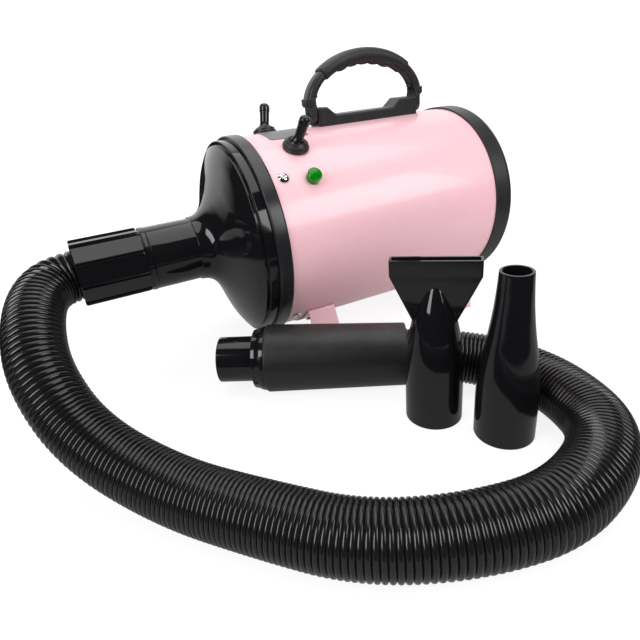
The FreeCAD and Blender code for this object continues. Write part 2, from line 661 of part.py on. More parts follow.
def foot_bracket(x):
    x0 = x - FOOT_WIDTH / 2
    inner_r = SHELL_R + 0.02
    saddle = pipe(inner_r + FOOT_SHEET, inner_r, x0, x0 + FOOT_WIDTH)
    reach = 200.0
    spread = math.radians(FOOT_SPREAD_ANGLE)
    wedge_points = [Vector(x0 - 1, 0, AXIS_Z),
                    Vector(x0 - 1, reach * math.sin(spread), AXIS_Z - reach * math.cos(spread)),
                    Vector(x0 - 1, -reach * math.sin(spread), AXIS_Z - reach * math.cos(spread))]
    wedge = Part.Face(Part.makePolygon(wedge_points + wedge_points[:1])).extrude(X_AXIS * (FOOT_WIDTH + 2))
    pieces = [saddle.common(wedge)]
    for side in (1, -1):
        y_top, z_top, y_bend, y_toe = foot_leg_points(side)
        slope = math.radians(FOOT_SPLAY)
        dy = side * FOOT_SHEET / math.cos(slope)
        leg = [(y_top, z_top + 0.4), (y_top + dy, z_top + 0.4), (y_bend + dy, PAD_THICKNESS),
               (y_bend, PAD_THICKNESS)]
        toe = [(y_bend, PAD_THICKNESS), (y_toe, PAD_THICKNESS), (y_toe, PAD_THICKNESS + FOOT_SHEET),
               (y_bend, PAD_THICKNESS + FOOT_SHEET)]
        for outline in (leg, toe):
            points = [Vector(x0, y, z) for y, z in outline]
            pieces.append(Part.Face(Part.makePolygon(points + points[:1])).extrude(X_AXIS * FOOT_WIDTH))
    bracket = joined(pieces).cut(disc(inner_r, x0 - 5, x0 + FOOT_WIDTH + 5))
    holes = []
    for side in (-1, 1):
        angle = 180 + side * FOOT_SPREAD_ANGLE / 2
        holes.append(rod(2.1, on_axis(x, SHELL_R - 3, angle), outward(angle), 10))
    return bracket.cut(grouped(holes))


def foot_pads():
    pads = []
    for x in foot_stations():
        for side in (1, -1):
            y_top, z_top, y_bend, y_toe = foot_leg_points(side)
            pads.append(rod(PAD_R, Vector(x, (y_bend + y_toe) / 2, 0), Z_AXIS, PAD_THICKNESS - TOUCH))
    return grouped(pads)


def foot_screws():
    screws = []
    for x in foot_stations():
        for side in (-1, 1):
            angle = 180 + side * FOOT_SPREAD_ANGLE / 2
            way = outward(angle)
            seat = on_axis(x, SHELL_R + FOOT_SHEET + 0.12, angle)
            screws.append(joined([rod(3.8, seat, way, 2.0), rod(2.0, seat + way * 0.5, way * -1, 7.0)]))
    return grouped(screws)


# ---------------------------------------------------------------- hose cuff, hose and wand
def hose_cuff():
    """Rounded grip: flat panels with a pair of thin ridges between them, and a collar at the spout."""
    body = pipe(CUFF_R - 0.7, CUFF_SHOULDER_R, CUFF_END, SPOUT_END - TOUCH)
    collar = pipe(CUFF_R, CUFF_R - 2, SPOUT_END - CUFF_COLLAR, SPOUT_END - TOUCH)
    ridges = []
    for i in range(CUFF_PANELS):
        for offset in (-1.1, 1.1):
            ridge = Part.makeBox(CUFF_LENGTH - CUFF_COLLAR - 2.5, 0.9, 3.0,
                                 Vector(CUFF_END, offset - 0.45, AXIS_Z + CUFF_R - 3.0))
            ridge.rotate(on_axis(0), X_AXIS, 360.0 * (i + 0.5) / CUFF_PANELS)
            ridges.append(ridge)
    body = body.multiFuse([collar] + ridges)
    shoulder_x = CUFF_END + HOSE_IN_CUFF
    body = body.cut(disc(SPIGOT_R + SLIP_CLEARANCE, shoulder_x + CUFF_SHOULDER, SPOUT_END + 5))
    return body.cut(disc(HOSE_R + SOCKET_CLEARANCE, CUFF_END - 5, shoulder_x))


def wand_tilt():
    return math.degrees(math.asin((SLEEVE_FRONT_R - SLEEVE_REAR_R) / SLEEVE_LENGTH))


def wand_placement():
    """The wand lies on its tapered sleeve: its own x runs from the spigot back to the hose."""
    height = SLEEVE_REAR_R * math.cos(math.radians(wand_tilt()))
    turn = Rotation(Z_AXIS, WAND_HEADING).multiply(Rotation(Y_AXIS, wand_tilt()))
    return Placement(Vector(WAND_REAR_X, WAND_REAR_Y, height), turn)


def on_wand(x, y=0.0, z=0.0):
    return wand_placement().multVec(Vector(x, y, z))


def placed_on_wand(shape):
    shape.Placement = wand_placement().multiply(shape.Placement)
    return shape


def wand_stations():
    front = -SLEEVE_LENGTH
    collar = front - COLLAR_LENGTH
    return front, collar, collar - WAND_SPIGOT_LENGTH


def wand_tube():
    front, collar, tip = wand_stations()
    bore = WAND_SPIGOT_R - WAND_WALL
    outline = edges_of([(tip, bore), (tip, WAND_SPIGOT_R - 0.5), (tip + 0.5, WAND_SPIGOT_R),
                        (collar, WAND_SPIGOT_R),
                        (collar, WAND_TUBE_R), (-1.0, WAND_TUBE_R), (-1.0, HOSE_R + SOCKET_CLEARANCE),
                        (-HOSE_IN_WAND, HOSE_R + SOCKET_CLEARANCE), (-HOSE_IN_WAND, bore), (tip, bore)])
    return placed_on_wand(turned(outline))


def wand_collar():
    front, collar, tip = wand_stations()
    hole = WAND_TUBE_R + 0.02
    outline = edges_of([(collar, hole), (collar, hole + 0.6), (collar + 2.5, hole + 0.9),
                        (front - 2.2, COLLAR_R - 0.6),
                        (front - TOUCH, COLLAR_R), (front - TOUCH, hole), (collar, hole)])
    ring = turned(outline)
    for i in range(4):
        notch = Part.makeBox(1.6, 5.0, 3.0, Vector(front - 2.0, -2.5, COLLAR_R - 1.6))
        notch.rotate(Vector(0, 0, 0), X_AXIS, 90.0 * i + 20)
        ring = ring.cut(notch)
    return placed_on_wand(ring)


def wand_sleeve():
    sleeve = Part.makeCone(SLEEVE_FRONT_R, SLEEVE_REAR_R, SLEEVE_LENGTH, Vector(-SLEEVE_LENGTH, 0, 0), X_AXIS)
    sleeve = sleeve.cut(Part.makeCylinder(WAND_TUBE_R + 0.02, SLEEVE_LENGTH + 2,
                                          Vector(-SLEEVE_LENGTH - 1, 0, 0), X_AXIS))
    return placed_on_wand(sleeve)


def hose_route():
    """Points of the hose, from the seat in the cuff to the seat in the wand, on the floor between."""
    start = on_axis(CUFF_END + HOSE_IN_CUFF)
    lying = HOSE_R
    middle = [(-169, 0, AXIS_Z), (-188, -20, 105), (-196, -62, 95), (-197, -101, 74), (-181, -140, 40),
              (-141, -195, lying), (-98, -248, lying), (-62, -288, lying), (-10, -315, lying), (47, -327,
                                                                                                lying),
              (111, -304, lying), (131, -251, lying), (124, -202, lying)]
    points = [start] + [Vector(*p) for p in middle]
    points.append(on_wand(21.0))
    points.append(on_wand(-HOSE_IN_WAND))
    return points


def tube_path(points):
    """Straight runs joined by tangent arcs, each as large as its two runs allow."""
    edges = []
    radii = []
    last = points[0]
    for before, corner, after in zip(points, points[1:], points[2:]):
        back = before - corner
        ahead = after - corner
        shorter = min(back.Length, ahead.Length)
        turn = math.pi - back.getAngle(ahead)
        radius = 0.45 * shorter / math.tan(turn / 2)
        reach = 0.45 * shorter
        back.normalize()
        ahead.normalize()
        entry = corner + back * reach
        leave = corner + ahead * reach
        towards_centre = back + ahead
        towards_centre.normalize()
        bulge = radius / math.cos(turn / 2) - radius
        edges.append(Part.LineSegment(last, entry).toShape())
        edges.append(Part.Arc(entry, corner + towards_centre * bulge, leave).toShape())
        radii.append(radius)
        last = leave
    edges.append(Part.LineSegment(last, points[-1]).toShape())
    return Part.Wire(edges), radii


def hose():
    points = hose_route()
    path, radii = tube_path(points)
    start = points[0]
    direction = points[1] - points[0]

    def swept(r):
        section = Part.Wire([Part.Circle(start, direction, r).toShape()])
        return path.makePipeShell([section], True, True)

    outer = swept(HOSE_R)
    inner = swept(HOSE_R - HOSE_WALL)
    tube = outer.cut(inner)
    section_area = math.pi * (HOSE_R ** 2 - (HOSE_R - HOSE_WALL) ** 2)
    print("hose length %.1f mm, bend radii %s" % (path.Length, " ".join("%.0f" % r for r in radii)))
    print("hose volume over section times length: %.4f" % (tube.Volume / (section_area * path.Length)))
    return tube


# ---------------------------------------------------------------- loose nozzles
def stood_at(shape, x, y, heading=0.0):
    shape.Placement = Placement(Vector(x, y, 0), Rotation(Z_AXIS, heading)).multiply(shape.Placement)
    return shape


def upright(outline_edges):
    """Revolve an outline of (height, radius) points about Z."""
    solid = turned(*outline_edges)
    solid.rotate(Vector(0, 0, 0), Y_AXIS, -90)
    return solid


def round_nozzle():
    rise = ROUND_NOZZLE_HEIGHT - NOZZLE_GRIP
    drop = NOZZLE_R - ROUND_MOUTH_R
    shape = ((0.0, 1.0), (0.18, 0.93), (0.38, 0.66), (0.56, 0.38), (0.74, 0.17), (0.9, 0.05), (1.0, 0.0))
    outer = [(NOZZLE_GRIP + rise * along, ROUND_MOUTH_R + drop * wide) for along, wide in shape]
    inner = [(z, r - NOZZLE_WALL - 0.3 * (z > NOZZLE_GRIP)) for z, r in outer]
    bore = WAND_SPIGOT_R + SLIP_CLEARANCE
    lip = inner[0][1] - 1.6
    outline = [curve_of(outer),
               edges_of([outer[-1], inner[-1]]),
               curve_of([inner[0][:1] + (lip,)] + [(z, r) for z, r in inner[1:]]),
               edges_of([(NOZZLE_GRIP, lip), (NOZZLE_GRIP, bore), (0, bore), (0, NOZZLE_R), outer[0]])]
    return stood_at(upright(outline), ROUND_NOZZLE_X, ROUND_NOZZLE_Y)


def fan_block(half_low, half_high, depth_low, depth_high, z_low, z_top, straight):
    """The flat fan: a tapering block that ends in a straight mouth."""
    def ring(half, depth, z):
        points = [Vector(sx * half, sy * depth / 2, z) for sx, sy in ((-1, -1), (1, -1), (1, 1), (-1, 1))]
        return Part.makePolygon(points + points[:1])
    lower = Part.makeLoft([ring(half_low, depth_low, z_low), ring(half_high, depth_high, z_top - straight)],
                          True, True)
    upper = Part.makeLoft([ring(half_high, depth_high, z_top - straight),
                           ring(half_high, depth_high, z_top)], True, True)
    return joined([lower, upper])


def bullet(r, height, straight):
    rise = height - straight
    shape = ((0.0, 1.0), (0.25, 0.965), (0.5, 0.85), (0.72, 0.65), (0.88, 0.4), (0.97, 0.18))
    outer = [(straight + rise * along, r * wide) for along, wide in shape]
    top = (height, 0.0)
    outline = [curve_of(outer + [top]), edges_of([top, (0, 0), (0, r), outer[0]])]
    return upright(outline)


def flat_nozzle():
    half = FLAT_MOUTH_WIDTH / 2
    outer = joined([bullet(NOZZLE_R, BULLET_HEIGHT, NOZZLE_GRIP),
                    fan_block(7.0, half, 13.0, FLAT_MOUTH_DEPTH, FAN_START, FLAT_NOZZLE_HEIGHT,
                              FLAT_MOUTH_STRAIGHT)])
    w = NOZZLE_WALL
    inner_bullet = bullet(NOZZLE_R - w - 1.6, BULLET_HEIGHT - 4.0, NOZZLE_GRIP)
    inner_fan = fan_block(7.0 - w, half - w, 13.0 - 2 * w, FLAT_MOUTH_DEPTH - 2 * w, FAN_START + 3.0,
                          FLAT_NOZZLE_HEIGHT + 1.0, FLAT_MOUTH_STRAIGHT + 1.5)
    bore = rod(WAND_SPIGOT_R + SLIP_CLEARANCE, Vector(0, 0, -1), Z_AXIS, NOZZLE_GRIP + 1)
    nozzle = outer.cut(joined([inner_bullet, inner_fan])).cut(bore)
    return stood_at(nozzle, FLAT_NOZZLE_X, FLAT_NOZZLE_Y, FLAT_NOZZLE_HEADING)


# ---------------------------------------------------------------- blower
def motor_can():
    can = pipe(MOTOR_R, MOTOR_R - MOTOR_WALL, MOTOR_START, MOTOR_END)
    plate = disc(MOTOR_R, MOTOR_START, MOTOR_START + 2.0)
    nose = disc(NOSE_R, MOTOR_START - NOSE_LENGTH, MOTOR_START + 1)
    can = joined([can, plate, nose])
    can = can.cut(disc(BEARING_R, MOTOR_START - NOSE_LENGTH + 2,
                       MOTOR_START - NOSE_LENGTH + 2 + BEARING_WIDTH))
    can = can.cut(disc(BEARING_R - 1.5, MOTOR_START - NOSE_LENGTH + 1, MOTOR_START + 3))
    vents = []
    for i in range(6):
        vent = rod(6.0, on_axis(MOTOR_START - 1, 30, 60.0 * i), X_AXIS, 4)
        vents.append(vent)
    for i in range(8):
        vents.append(rod(6.0, on_axis(MOTOR_START + 10, MOTOR_R - 5, 45.0 * i + 22.5),
                         outward(45.0 * i + 22.5), 8))
    return can.cut(grouped(vents))


def bearing(x0):
    return pipe(BEARING_R, SHAFT_R + SHAFT_CLEARANCE, x0, x0 + BEARING_WIDTH)


def motor_stator():
    x0 = MOTOR_START + 24.0
    core = pipe(MOTOR_R - MOTOR_WALL - TOUCH, STATOR_BORE_R, x0, x0 + STATOR_LENGTH)
    gaps = []
    for angle in (90, 270):
        gaps.append(block_at(on_axis(x0 + STATOR_LENGTH / 2, STATOR_BORE_R + 7.0, angle), angle,
                             STATOR_LENGTH + 2, 30.0, 16.0))
    return core.cut(grouped(gaps))


def armature():
    x0 = MOTOR_START + 25.0
    core = pipe(STATOR_BORE_R - AIR_GAP, SHAFT_R, x0, x0 + STATOR_LENGTH - 2)
    slots = []
    for i in range(12):
        slots.append(rod(2.4, on_axis(x0 - 1, STATOR_BORE_R - 3.2, 30.0 * i), X_AXIS, STATOR_LENGTH + 2))
    return core.cut(grouped(slots))


def commutator():
    x0 = MOTOR_START + 8.0
    return pipe(COMMUTATOR_R, SHAFT_R, x0, x0 + COMMUTATOR_LENGTH)


def motor_shaft():
    return disc(SHAFT_R, MOTOR_START - NOSE_LENGTH + 2, MOTOR_END + IMPELLER_WIDTH + 16.0)


def brush_parts():
    x = MOTOR_START + 8.0 + COMMUTATOR_LENGTH / 2
    brushes = []
    holders = []
    for angle in (90, 270):
        way = outward(angle)
        foot = on_axis(x, COMMUTATOR_R + 0.15, angle)
        brushes.append(block_at(foot + way * 14.0, angle, 6.0, 8.0, 14.0))
        outer = block_at(foot + way * (MOTOR_R - MOTOR_WALL - COMMUTATOR_R - 0.7), angle, 9.0, 11.0,
                         MOTOR_R - MOTOR_WALL - COMMUTATOR_R - 3.7)
        inner = block_at(foot + way * 28.0, angle, 6.1, 8.1, 27.0)
        holders.append(outer.cut(inner))
    add("carbon_brushes", grouped(brushes))
    add("brush_holders", grouped(holders))


def fan_housing():
    x0, x1 = MOTOR_END + TOUCH, FAN_HOUSING_END
    cup = disc(FAN_HOUSING_R, x0, x1).cut(disc(FAN_HOUSING_R - FAN_HOUSING_WALL, x0 + FAN_HOUSING_WALL,
                                               x1 - FAN_HOUSING_WALL))
    cup = cup.cut(disc(EYE_R, x1 - 3, x1 + 3))
    seat = pipe(BEARING_R + 3.0, BEARING_R, x0, x0 + BEARING_WIDTH + 1.5)
    outlets = [rod(6.0, on_axis(x0 - 2, 54.0, 40.0 * i), X_AXIS, 5) for i in range(9)]
    cup = cup.cut(grouped(outlets)).fuse(seat)
    return cup.cut(disc(BEARING_R, x0 + 1.2, x0 + BEARING_WIDTH + 4)).cut(disc(SHAFT_R + 1.5, x0 - 2, x0 + 5))


def impeller():
    x0 = MOTOR_END + 14.0
    back = pipe(IMPELLER_R, SHAFT_R, x0, x0 + 1.4)
    front = pipe(IMPELLER_R, EYE_R - 3.0, x0 + IMPELLER_WIDTH, x0 + IMPELLER_WIDTH + 1.2)
    hub = pipe(9.0, SHAFT_R, x0, x0 + IMPELLER_WIDTH - 2)
    blades = []
    for i in range(IMPELLER_BLADES):
        curve = pipe(46.0, 45.0, x0 + 0.7, x0 + IMPELLER_WIDTH + 0.6)
        curve.translate(Vector(0, 0, -40.0))
        keep = disc(IMPELLER_R - 0.5, x0,
                    x0 + IMPELLER_WIDTH + 1).cut(disc(EYE_R - 2.0, x0 - 1, x0 + IMPELLER_WIDTH + 2))
        half = Part.makeBox(60, 80, 200, Vector(x0 - 5, 0, AXIS_Z - 100))
        blade = curve.common(keep).common(half)
        blade.rotate(on_axis(0), X_AXIS, 360.0 * i / IMPELLER_BLADES)
        blades.append(blade)
    return joined([back, front, hub] + blades)


def front_spider():
    x0 = MOTOR_START - NOSE_LENGTH + 3.0
    hub = pipe(26.0, NOSE_R + 2.5, x0, x0 + 3.0)
    rim = pipe(SHELL_BORE - TOUCH, SHELL_BORE - 4.0, x0, x0 + 14.0)
    arms = []
    for i in range(3):
        arm = Part.makeBox(3.0, 12.0, SHELL_BORE - 2.0 - 24.0, Vector(x0, -6.0, AXIS_Z + 24.0))
        arm.rotate(on_axis(0), X_AXIS, 120.0 * i + 180)
        arms.append(arm)
    return joined([hub, rim] + arms)


def nose_bush():
    x0 = MOTOR_START - NOSE_LENGTH + 1.0
    bush = pipe(NOSE_R + 5.0, NOSE_R + TOUCH, x0, x0 + 7.0)
    return bush.cut(pipe(NOSE_R + 6.0, NOSE_R + 2.48, x0 + 1.98, x0 + 5.02))


def rear_bulkhead():
    x0 = FAN_HOUSING_END + 3.0 + TOUCH
    plate = pipe(SHELL_BORE - TOUCH, FAN_HOUSING_R - 14.0, x0, x0 + 1.5)
    rim = pipe(SHELL_BORE - TOUCH, SHELL_BORE - 2.0, x0, x0 + 8.0)
    return joined([plate, rim])


def rear_mount():
    return pipe(FAN_HOUSING_R, FAN_HOUSING_R - 10.0, FAN_HOUSING_END + TOUCH, FAN_HOUSING_END + 3.0)


def acoustic_liner():
    x0 = MOTOR_START - NOSE_LENGTH + 3.0 + 14.0 + TOUCH
    liner = pipe(SHELL_BORE - TOUCH, SHELL_BORE - LINER_THICKNESS, x0, FAN_HOUSING_END + 3.0 - TOUCH)
    pockets = [rod(5.0, on_axis(x, SHELL_BORE - LINER_THICKNESS - 1), Z_AXIS, LINER_THICKNESS + 2)
               for x in handle_screw_stations()]
    return liner.cut(grouped(pockets))


def heater():
    x0, x1 = HEATER_START, HEATER_START + HEATER_LENGTH
    boards = []
    for i in range(3):
        board = Part.makeBox(x1 - x0, 1.2, 2 * HEATER_R, Vector(x0, -0.6, AXIS_Z - HEATER_R))
        board.rotate(on_axis(0), X_AXIS, 60.0 * i + 30)
        boards.append(board)
    rim = pipe(SHELL_BORE - TOUCH, HEATER_R - 1.0, x1, x1 + 1.5)
    frame = joined(boards + [rim])
    coils = []
    for i, r in enumerate((20.0, 30.0, 40.0, 50.0)):
        for x in (x0 + 6.0, x0 + 18.0):
            coils.append(Part.makeTorus(r, 1.2, on_axis(x), X_AXIS))
    wires = grouped(coils)
    add("heater_frame", frame.cut(wires))
    add("heater_coils", wires)
    cutout = rod(7.0, on_axis(x1 + 1.5 + TOUCH, HEATER_R + 12.0, 20), X_AXIS, 2.4)
    add("thermal_cutout", cutout)


def control_board():
    angle = PANEL_ANGLE - 3 * SWITCH_SPREAD
    top = on_axis(SWITCH_STATION + 2.0, SHELL_BORE - BOARD_DEPTH, angle)
    board = block_at(top, angle, 22.0, 36.0, 1.6)
    relays = [block_at(top + outward(angle) * 5.0 + X_AXIS * dx, angle, 9.0, 12.0, 5.02) for dx in (-6, 5)]
    pillar_length = math.sqrt(SHELL_BORE ** 2 - (PILLAR_OFFSET + PILLAR_R) ** 2) - (SHELL_BORE - BOARD_DEPTH)
    pillars = [rod(PILLAR_R, top + X_AXIS * dx + around(angle) * dy, outward(angle), pillar_length)
               for dx, dy in ((-8, -PILLAR_OFFSET), (8, PILLAR_OFFSET))]
    return joined([board] + relays + pillars)


# ---------------------------------------------------------------- build
def build():
    add("body_shell", body_shell())
    add("front_ring", front_ring())
    add("front_cone", front_cone())
    add("shell_screws", shell_screws())
    add("rear_cap", rear_cap())
    add("intake_filter", intake_filter())
    add("filter_retainer", filter_retainer())
    add("rear_ring", rear_ring())
    add("cap_screws", cap_screws())
    add("cable_gland", cable_gland())
    add("handle_base", handle_base())
    add("handle_screws", handle_screws())
    add("handle_pins", handle_pins())
    add("handle_bail", handle_bail())
    add("handle_grip", handle_grip())
    pivots = [switch_parts(i + 1, angle) for i, angle in enumerate(switch_angles())]
    add("label_plate", label_plate())
    pilot_lamp()
    front_x, rear_x = foot_stations()
    add("front_foot", foot_bracket(front_x))
    add("rear_foot", foot_bracket(rear_x))
    add("foot_pads", foot_pads())
    add("foot_screws", foot_screws())
    add("hose_cuff", hose_cuff())
    add("hose", hose())
    add("wand_tube", wand_tube())
    add("wand_collar", wand_collar())
    add("wand_sleeve", wand_sleeve())
    add("round_nozzle", round_nozzle())
    add("flat_nozzle", flat_nozzle())
    add("motor_can", motor_can())
    add("front_bearing", bearing(MOTOR_START - NOSE_LENGTH + 2))
    add("rear_bearing", bearing(MOTOR_END + 1.2 + 2 * TOUCH))
    add("motor_stator", motor_stator())
    add("armature", armature())
    add("commutator", commutator())
    add("motor_shaft", motor_shaft())
    brush_parts()
    add("fan_housing", fan_housing())
    add("impeller", impeller())
    add("front_spider", front_spider())
    add("nose_bush", nose_bush())
    add("rear_bulkhead", rear_bulkhead())
    add("rear_mount", rear_mount())
    add("acoustic_liner", acoustic_liner())
    heater()
    add("control_board", control_board())
    return pivots


HOSE_SET = ("hose_cuff", "hose", "wand_tube", "wand_collar", "wand_sleeve")


def footprint_shift():
    """Moves the middle of the dryer and nozzles, without the hose set, to x = y = 0."""
    box = FreeCAD.BoundBox()
    for name, shape in parts.items():
        if name not in HOSE_SET:
            box.add(shape.optimalBoundingBox(True, False))
    print("footprint X %.2f..%.2f Y %.2f..%.2f Z %.2f..%.2f" % (box.XMin, box.XMax, box.YMin, box.YMax,
                                                                box.ZMin, box.ZMax))
    return Vector(-(box.XMin + box.XMax) / 2, -(box.YMin + box.YMax) / 2, 0)


def show(label, point):
    print("%s: %.6f %.6f %.6f" % (label, point.x / 1000, point.y / 1000, point.z / 1000))


switch_pivots = build()
shift = footprint_shift()
os.makedirs("parts", exist_ok=True)
for name, shape in parts.items():
    moved = shape.copy()
    moved.translate(shift)
    solids = moved.Solids
    if not moved.isValid() or not solids:
        print("check this one:", name, "valid", moved.isValid(), "solids", len(solids))
    moved = solids[0] if len(solids) == 1 else Part.makeCompound(solids)
    moved.exportStep("parts/%s.step" % name)

print(len(parts), "nodes")
show("shift", shift)
show("handle pivot", Vector(HANDLE_MIDDLE, 0, PIVOT_Z) + shift)
for number, pivot in enumerate(switch_pivots):
    show("switch %d pivot" % (number + 1), pivot + shift)
    print("  hinge axis", around(switch_angles()[number]))
show("drum axis", on_axis(0) + shift)
show("wand spigot tip", on_wand(wand_stations()[2]) + shift)
show("wand spigot root", on_wand(wand_stations()[1]) + shift)
print("wand direction", wand_placement().Rotation.multVec(X_AXIS))
show("round nozzle", Vector(ROUND_NOZZLE_X, ROUND_NOZZLE_Y, 0) + shift)
show("flat nozzle", Vector(FLAT_NOZZLE_X, FLAT_NOZZLE_Y, 0) + shift)
pad = foot_leg_points(1)
show("foot pad", Vector(foot_stations()[0], (pad[2] + pad[3]) / 2, 0) + shift)
show("gland mouth", on_axis(CAP_END, gland_radius(), 180) + shift)
show("cap face", on_axis(CAP_END) + shift)
for point in hose_route():
    show("hose", point + shift)
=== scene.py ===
# %% [markdown]
# # A pet grooming dryer
# The real dryer is a painted steel drum with a blower and a heater inside. A black trumpet-shaped cone
# turns the air into a corrugated hose, and the hose ends in a hand wand. Two loose nozzles stand by it.
# The frame below is the engineering model: its places and axes are fixed, and every piece made here
# sits on it. Units are metres, +Z is up, and the floor is z = 0.

# %% Load the frame
import json
from math import copysign, cos, pi, radians, sin, sqrt, tan

import bmesh
import bpy
from mathutils import Matrix, Vector

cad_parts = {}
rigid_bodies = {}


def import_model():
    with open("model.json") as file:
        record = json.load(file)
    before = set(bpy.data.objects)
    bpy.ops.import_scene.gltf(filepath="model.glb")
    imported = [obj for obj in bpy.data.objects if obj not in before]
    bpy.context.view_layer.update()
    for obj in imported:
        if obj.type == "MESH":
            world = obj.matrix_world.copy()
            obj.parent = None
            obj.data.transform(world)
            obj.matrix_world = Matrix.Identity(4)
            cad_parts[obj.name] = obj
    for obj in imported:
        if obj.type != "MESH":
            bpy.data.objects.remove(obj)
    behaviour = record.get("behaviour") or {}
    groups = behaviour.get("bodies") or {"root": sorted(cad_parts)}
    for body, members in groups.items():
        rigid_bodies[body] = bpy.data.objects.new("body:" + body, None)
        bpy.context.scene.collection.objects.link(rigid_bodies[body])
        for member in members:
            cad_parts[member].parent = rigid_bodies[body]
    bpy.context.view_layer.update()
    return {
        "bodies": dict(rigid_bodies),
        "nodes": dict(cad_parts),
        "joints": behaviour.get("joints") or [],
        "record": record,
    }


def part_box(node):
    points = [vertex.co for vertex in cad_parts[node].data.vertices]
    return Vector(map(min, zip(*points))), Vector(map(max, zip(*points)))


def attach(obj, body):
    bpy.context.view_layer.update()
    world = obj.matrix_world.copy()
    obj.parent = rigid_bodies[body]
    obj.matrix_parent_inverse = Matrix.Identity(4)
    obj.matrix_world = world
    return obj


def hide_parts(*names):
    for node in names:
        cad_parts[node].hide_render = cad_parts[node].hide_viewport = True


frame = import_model()
joints = {joint["name"]: joint for joint in frame["joints"]}
mounts = {mount["name"]: mount for mount in frame["record"]["mounts"]}
MM = 0.001

# %% [markdown]
# ## Where things are
# The drum's axis runs along X. Its place is read from the front ring, so that nothing here is typed
# twice: `DRUM` is the point of the axis at the drum's front edge, and stations run back from it.

# %% The drum's axis
ring_low, ring_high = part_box("front_ring")
DRUM = Vector((ring_high.x, (ring_low.y + ring_high.y) / 2, (ring_low.z + ring_high.z) / 2))
SHELL_R, SHELL_LENGTH = 89.0, 221.0      # in mm
X_AXIS = Vector((1, 0, 0))
drum_place = Matrix.Translation(DRUM)
print("drum axis starts at", [round(v, 4) for v in DRUM])

# %% [markdown]
# ## The camera
# A product view from the outlet's side, above the drum, a little less than half a metre away. The lens
# is short because the camera stands so close: that is what makes the hose in front look so large.

# %% Camera
CAMERA_PLACE = Vector((-0.2083, -0.3618, 0.2383))
CAMERA_TURN = (64.27, -5.73, -25.04)      # tilt from straight down, roll, heading, in degrees
LENS = 28.19

tilt, roll, heading = (radians(a) for a in CAMERA_TURN)
camera = bpy.data.objects.new("camera", bpy.data.cameras.new("camera"))
camera.data.lens = LENS
camera.data.clip_start = 0.01
camera.matrix_world = (Matrix.Translation(CAMERA_PLACE) @ Matrix.Rotation(heading, 4, "Z")
                       @ Matrix.Rotation(tilt, 4, "X") @ Matrix.Rotation(roll, 4, "Z"))
bpy.context.scene.collection.objects.link(camera)
bpy.context.scene.camera = camera
bpy.context.scene.view_settings.view_transform = "Standard"

# %% [markdown]
# ## The hose's line
# The corrugated hose leaves the cuff, drops to the floor, makes one wide loop in front and comes back
# to the wand. A NURBS spline of order 3 through a few control points bends the way such a
# hose does, with no kinks. The order is set after the points, because before them it has no effect.

# %% The hose's control points, on the floor between the cuff and the wand
HOSE_R = 21.0 * MM
HOSE_POINTS = [
    (-0.19751, 0.087126, 0.1086), (-0.22851, 0.087126, 0.1086), (-0.24751, 0.067126, 0.105),
    (-0.25551, 0.025126, 0.095), (-0.25651, -0.013874, 0.074), (-0.24051, -0.052874, 0.040),
    (-0.20051, -0.107874, 0.021), (-0.15751, -0.160874, 0.021), (-0.12151, -0.200874, 0.021),
    (-0.06951, -0.227874, 0.021), (-0.01251, -0.239874, 0.021), (0.05149, -0.216874, 0.021),
    (0.07149, -0.163874, 0.021), (0.06449, -0.114874, 0.021), (0.02408, -0.07453, 0.025421),
    (-0.006931, -0.056263, 0.026231),
]


def spline_line(points, resolution):
    """The points along a smooth NURBS spline, read back from Blender's own curve."""
    curve = bpy.data.curves.new("line", "CURVE")
    curve.dimensions = "3D"
    spline = curve.splines.new("NURBS")
    spline.points.add(len(points) - 1)
    for knot, point in zip(spline.points, points):
        knot.co = (*point, 1.0)
    spline.order_u = 3
    spline.use_endpoint_u = True
    spline.resolution_u = resolution
    carrier = bpy.data.objects.new("line", curve)
    bpy.context.scene.collection.objects.link(carrier)
    mesh = bpy.data.meshes.new_from_object(carrier)
    line = [vertex.co.copy() for vertex in mesh.vertices]
    bpy.data.objects.remove(carrier)
    bpy.data.meshes.remove(mesh)
    return line


hose_line = spline_line(HOSE_POINTS, 32)
hose_length = sum((b - a).length for a, b in zip(hose_line, hose_line[1:]))
print("hose is %.0f mm long" % (hose_length / MM))

# %% [markdown]
# ## The studio
# A plain pale floor, a white surround and three softboxes. Black gloss plastic shows mostly what it
# reflects, so the surround matters as much as the lamps: it is white behind the dryer and darker on the
# viewer's side, which leaves the deep blacks. The lamps stay at a level at which a colour renders as
# it is written, and the white background comes from the surround, never from more light.

# %% Helpers for shader trees
def add_node(tree, kind, settings=None, **inputs):
    """Adds a shader node; an input given as a socket is linked, any other value is set on it."""
    node = tree.nodes.new("ShaderNode" + kind)
    for name, value in (settings or {}).items():
        setattr(node, name, value)
    for name, value in inputs.items():
        socket = node.inputs[int(name[1:])] if name[0] == "_" else node.inputs[name.replace("_", " ")]
        if isinstance(value, bpy.types.NodeSocket):
            tree.links.new(value, socket)
        else:
            socket.default_value = value
    return node


def ramp(tree, value, low, high, start=0.0, end=1.0):
    """Maps value from low..high to start..end, held at the ends."""
    return add_node(tree, "MapRange", {"clamp": True}, Value=value, From_Min=low, From_Max=high,
                    To_Min=start, To_Max=end).outputs["Result"]


def blend(tree, mask, below, above):
    """The colour below, turned into the one above where the mask is 1."""
    return add_node(tree, "Mix", {"data_type": "RGBA"}, _0=mask, _6=below, _7=above).outputs[2]


def maths(tree, operation, a, b=0.0):
    return add_node(tree, "Math", {"operation": operation}, _0=a, _1=b).outputs[0]


def seen_directly(tree):
    """1 for camera, glossy and transmitted rays, 0 for the rays that light things."""
    path = add_node(tree, "LightPath").outputs
    seen = maths(tree, "MAXIMUM", path["Is Camera Ray"], path["Is Glossy Ray"])
    return maths(tree, "MAXIMUM", seen, path["Is Transmission Ray"])


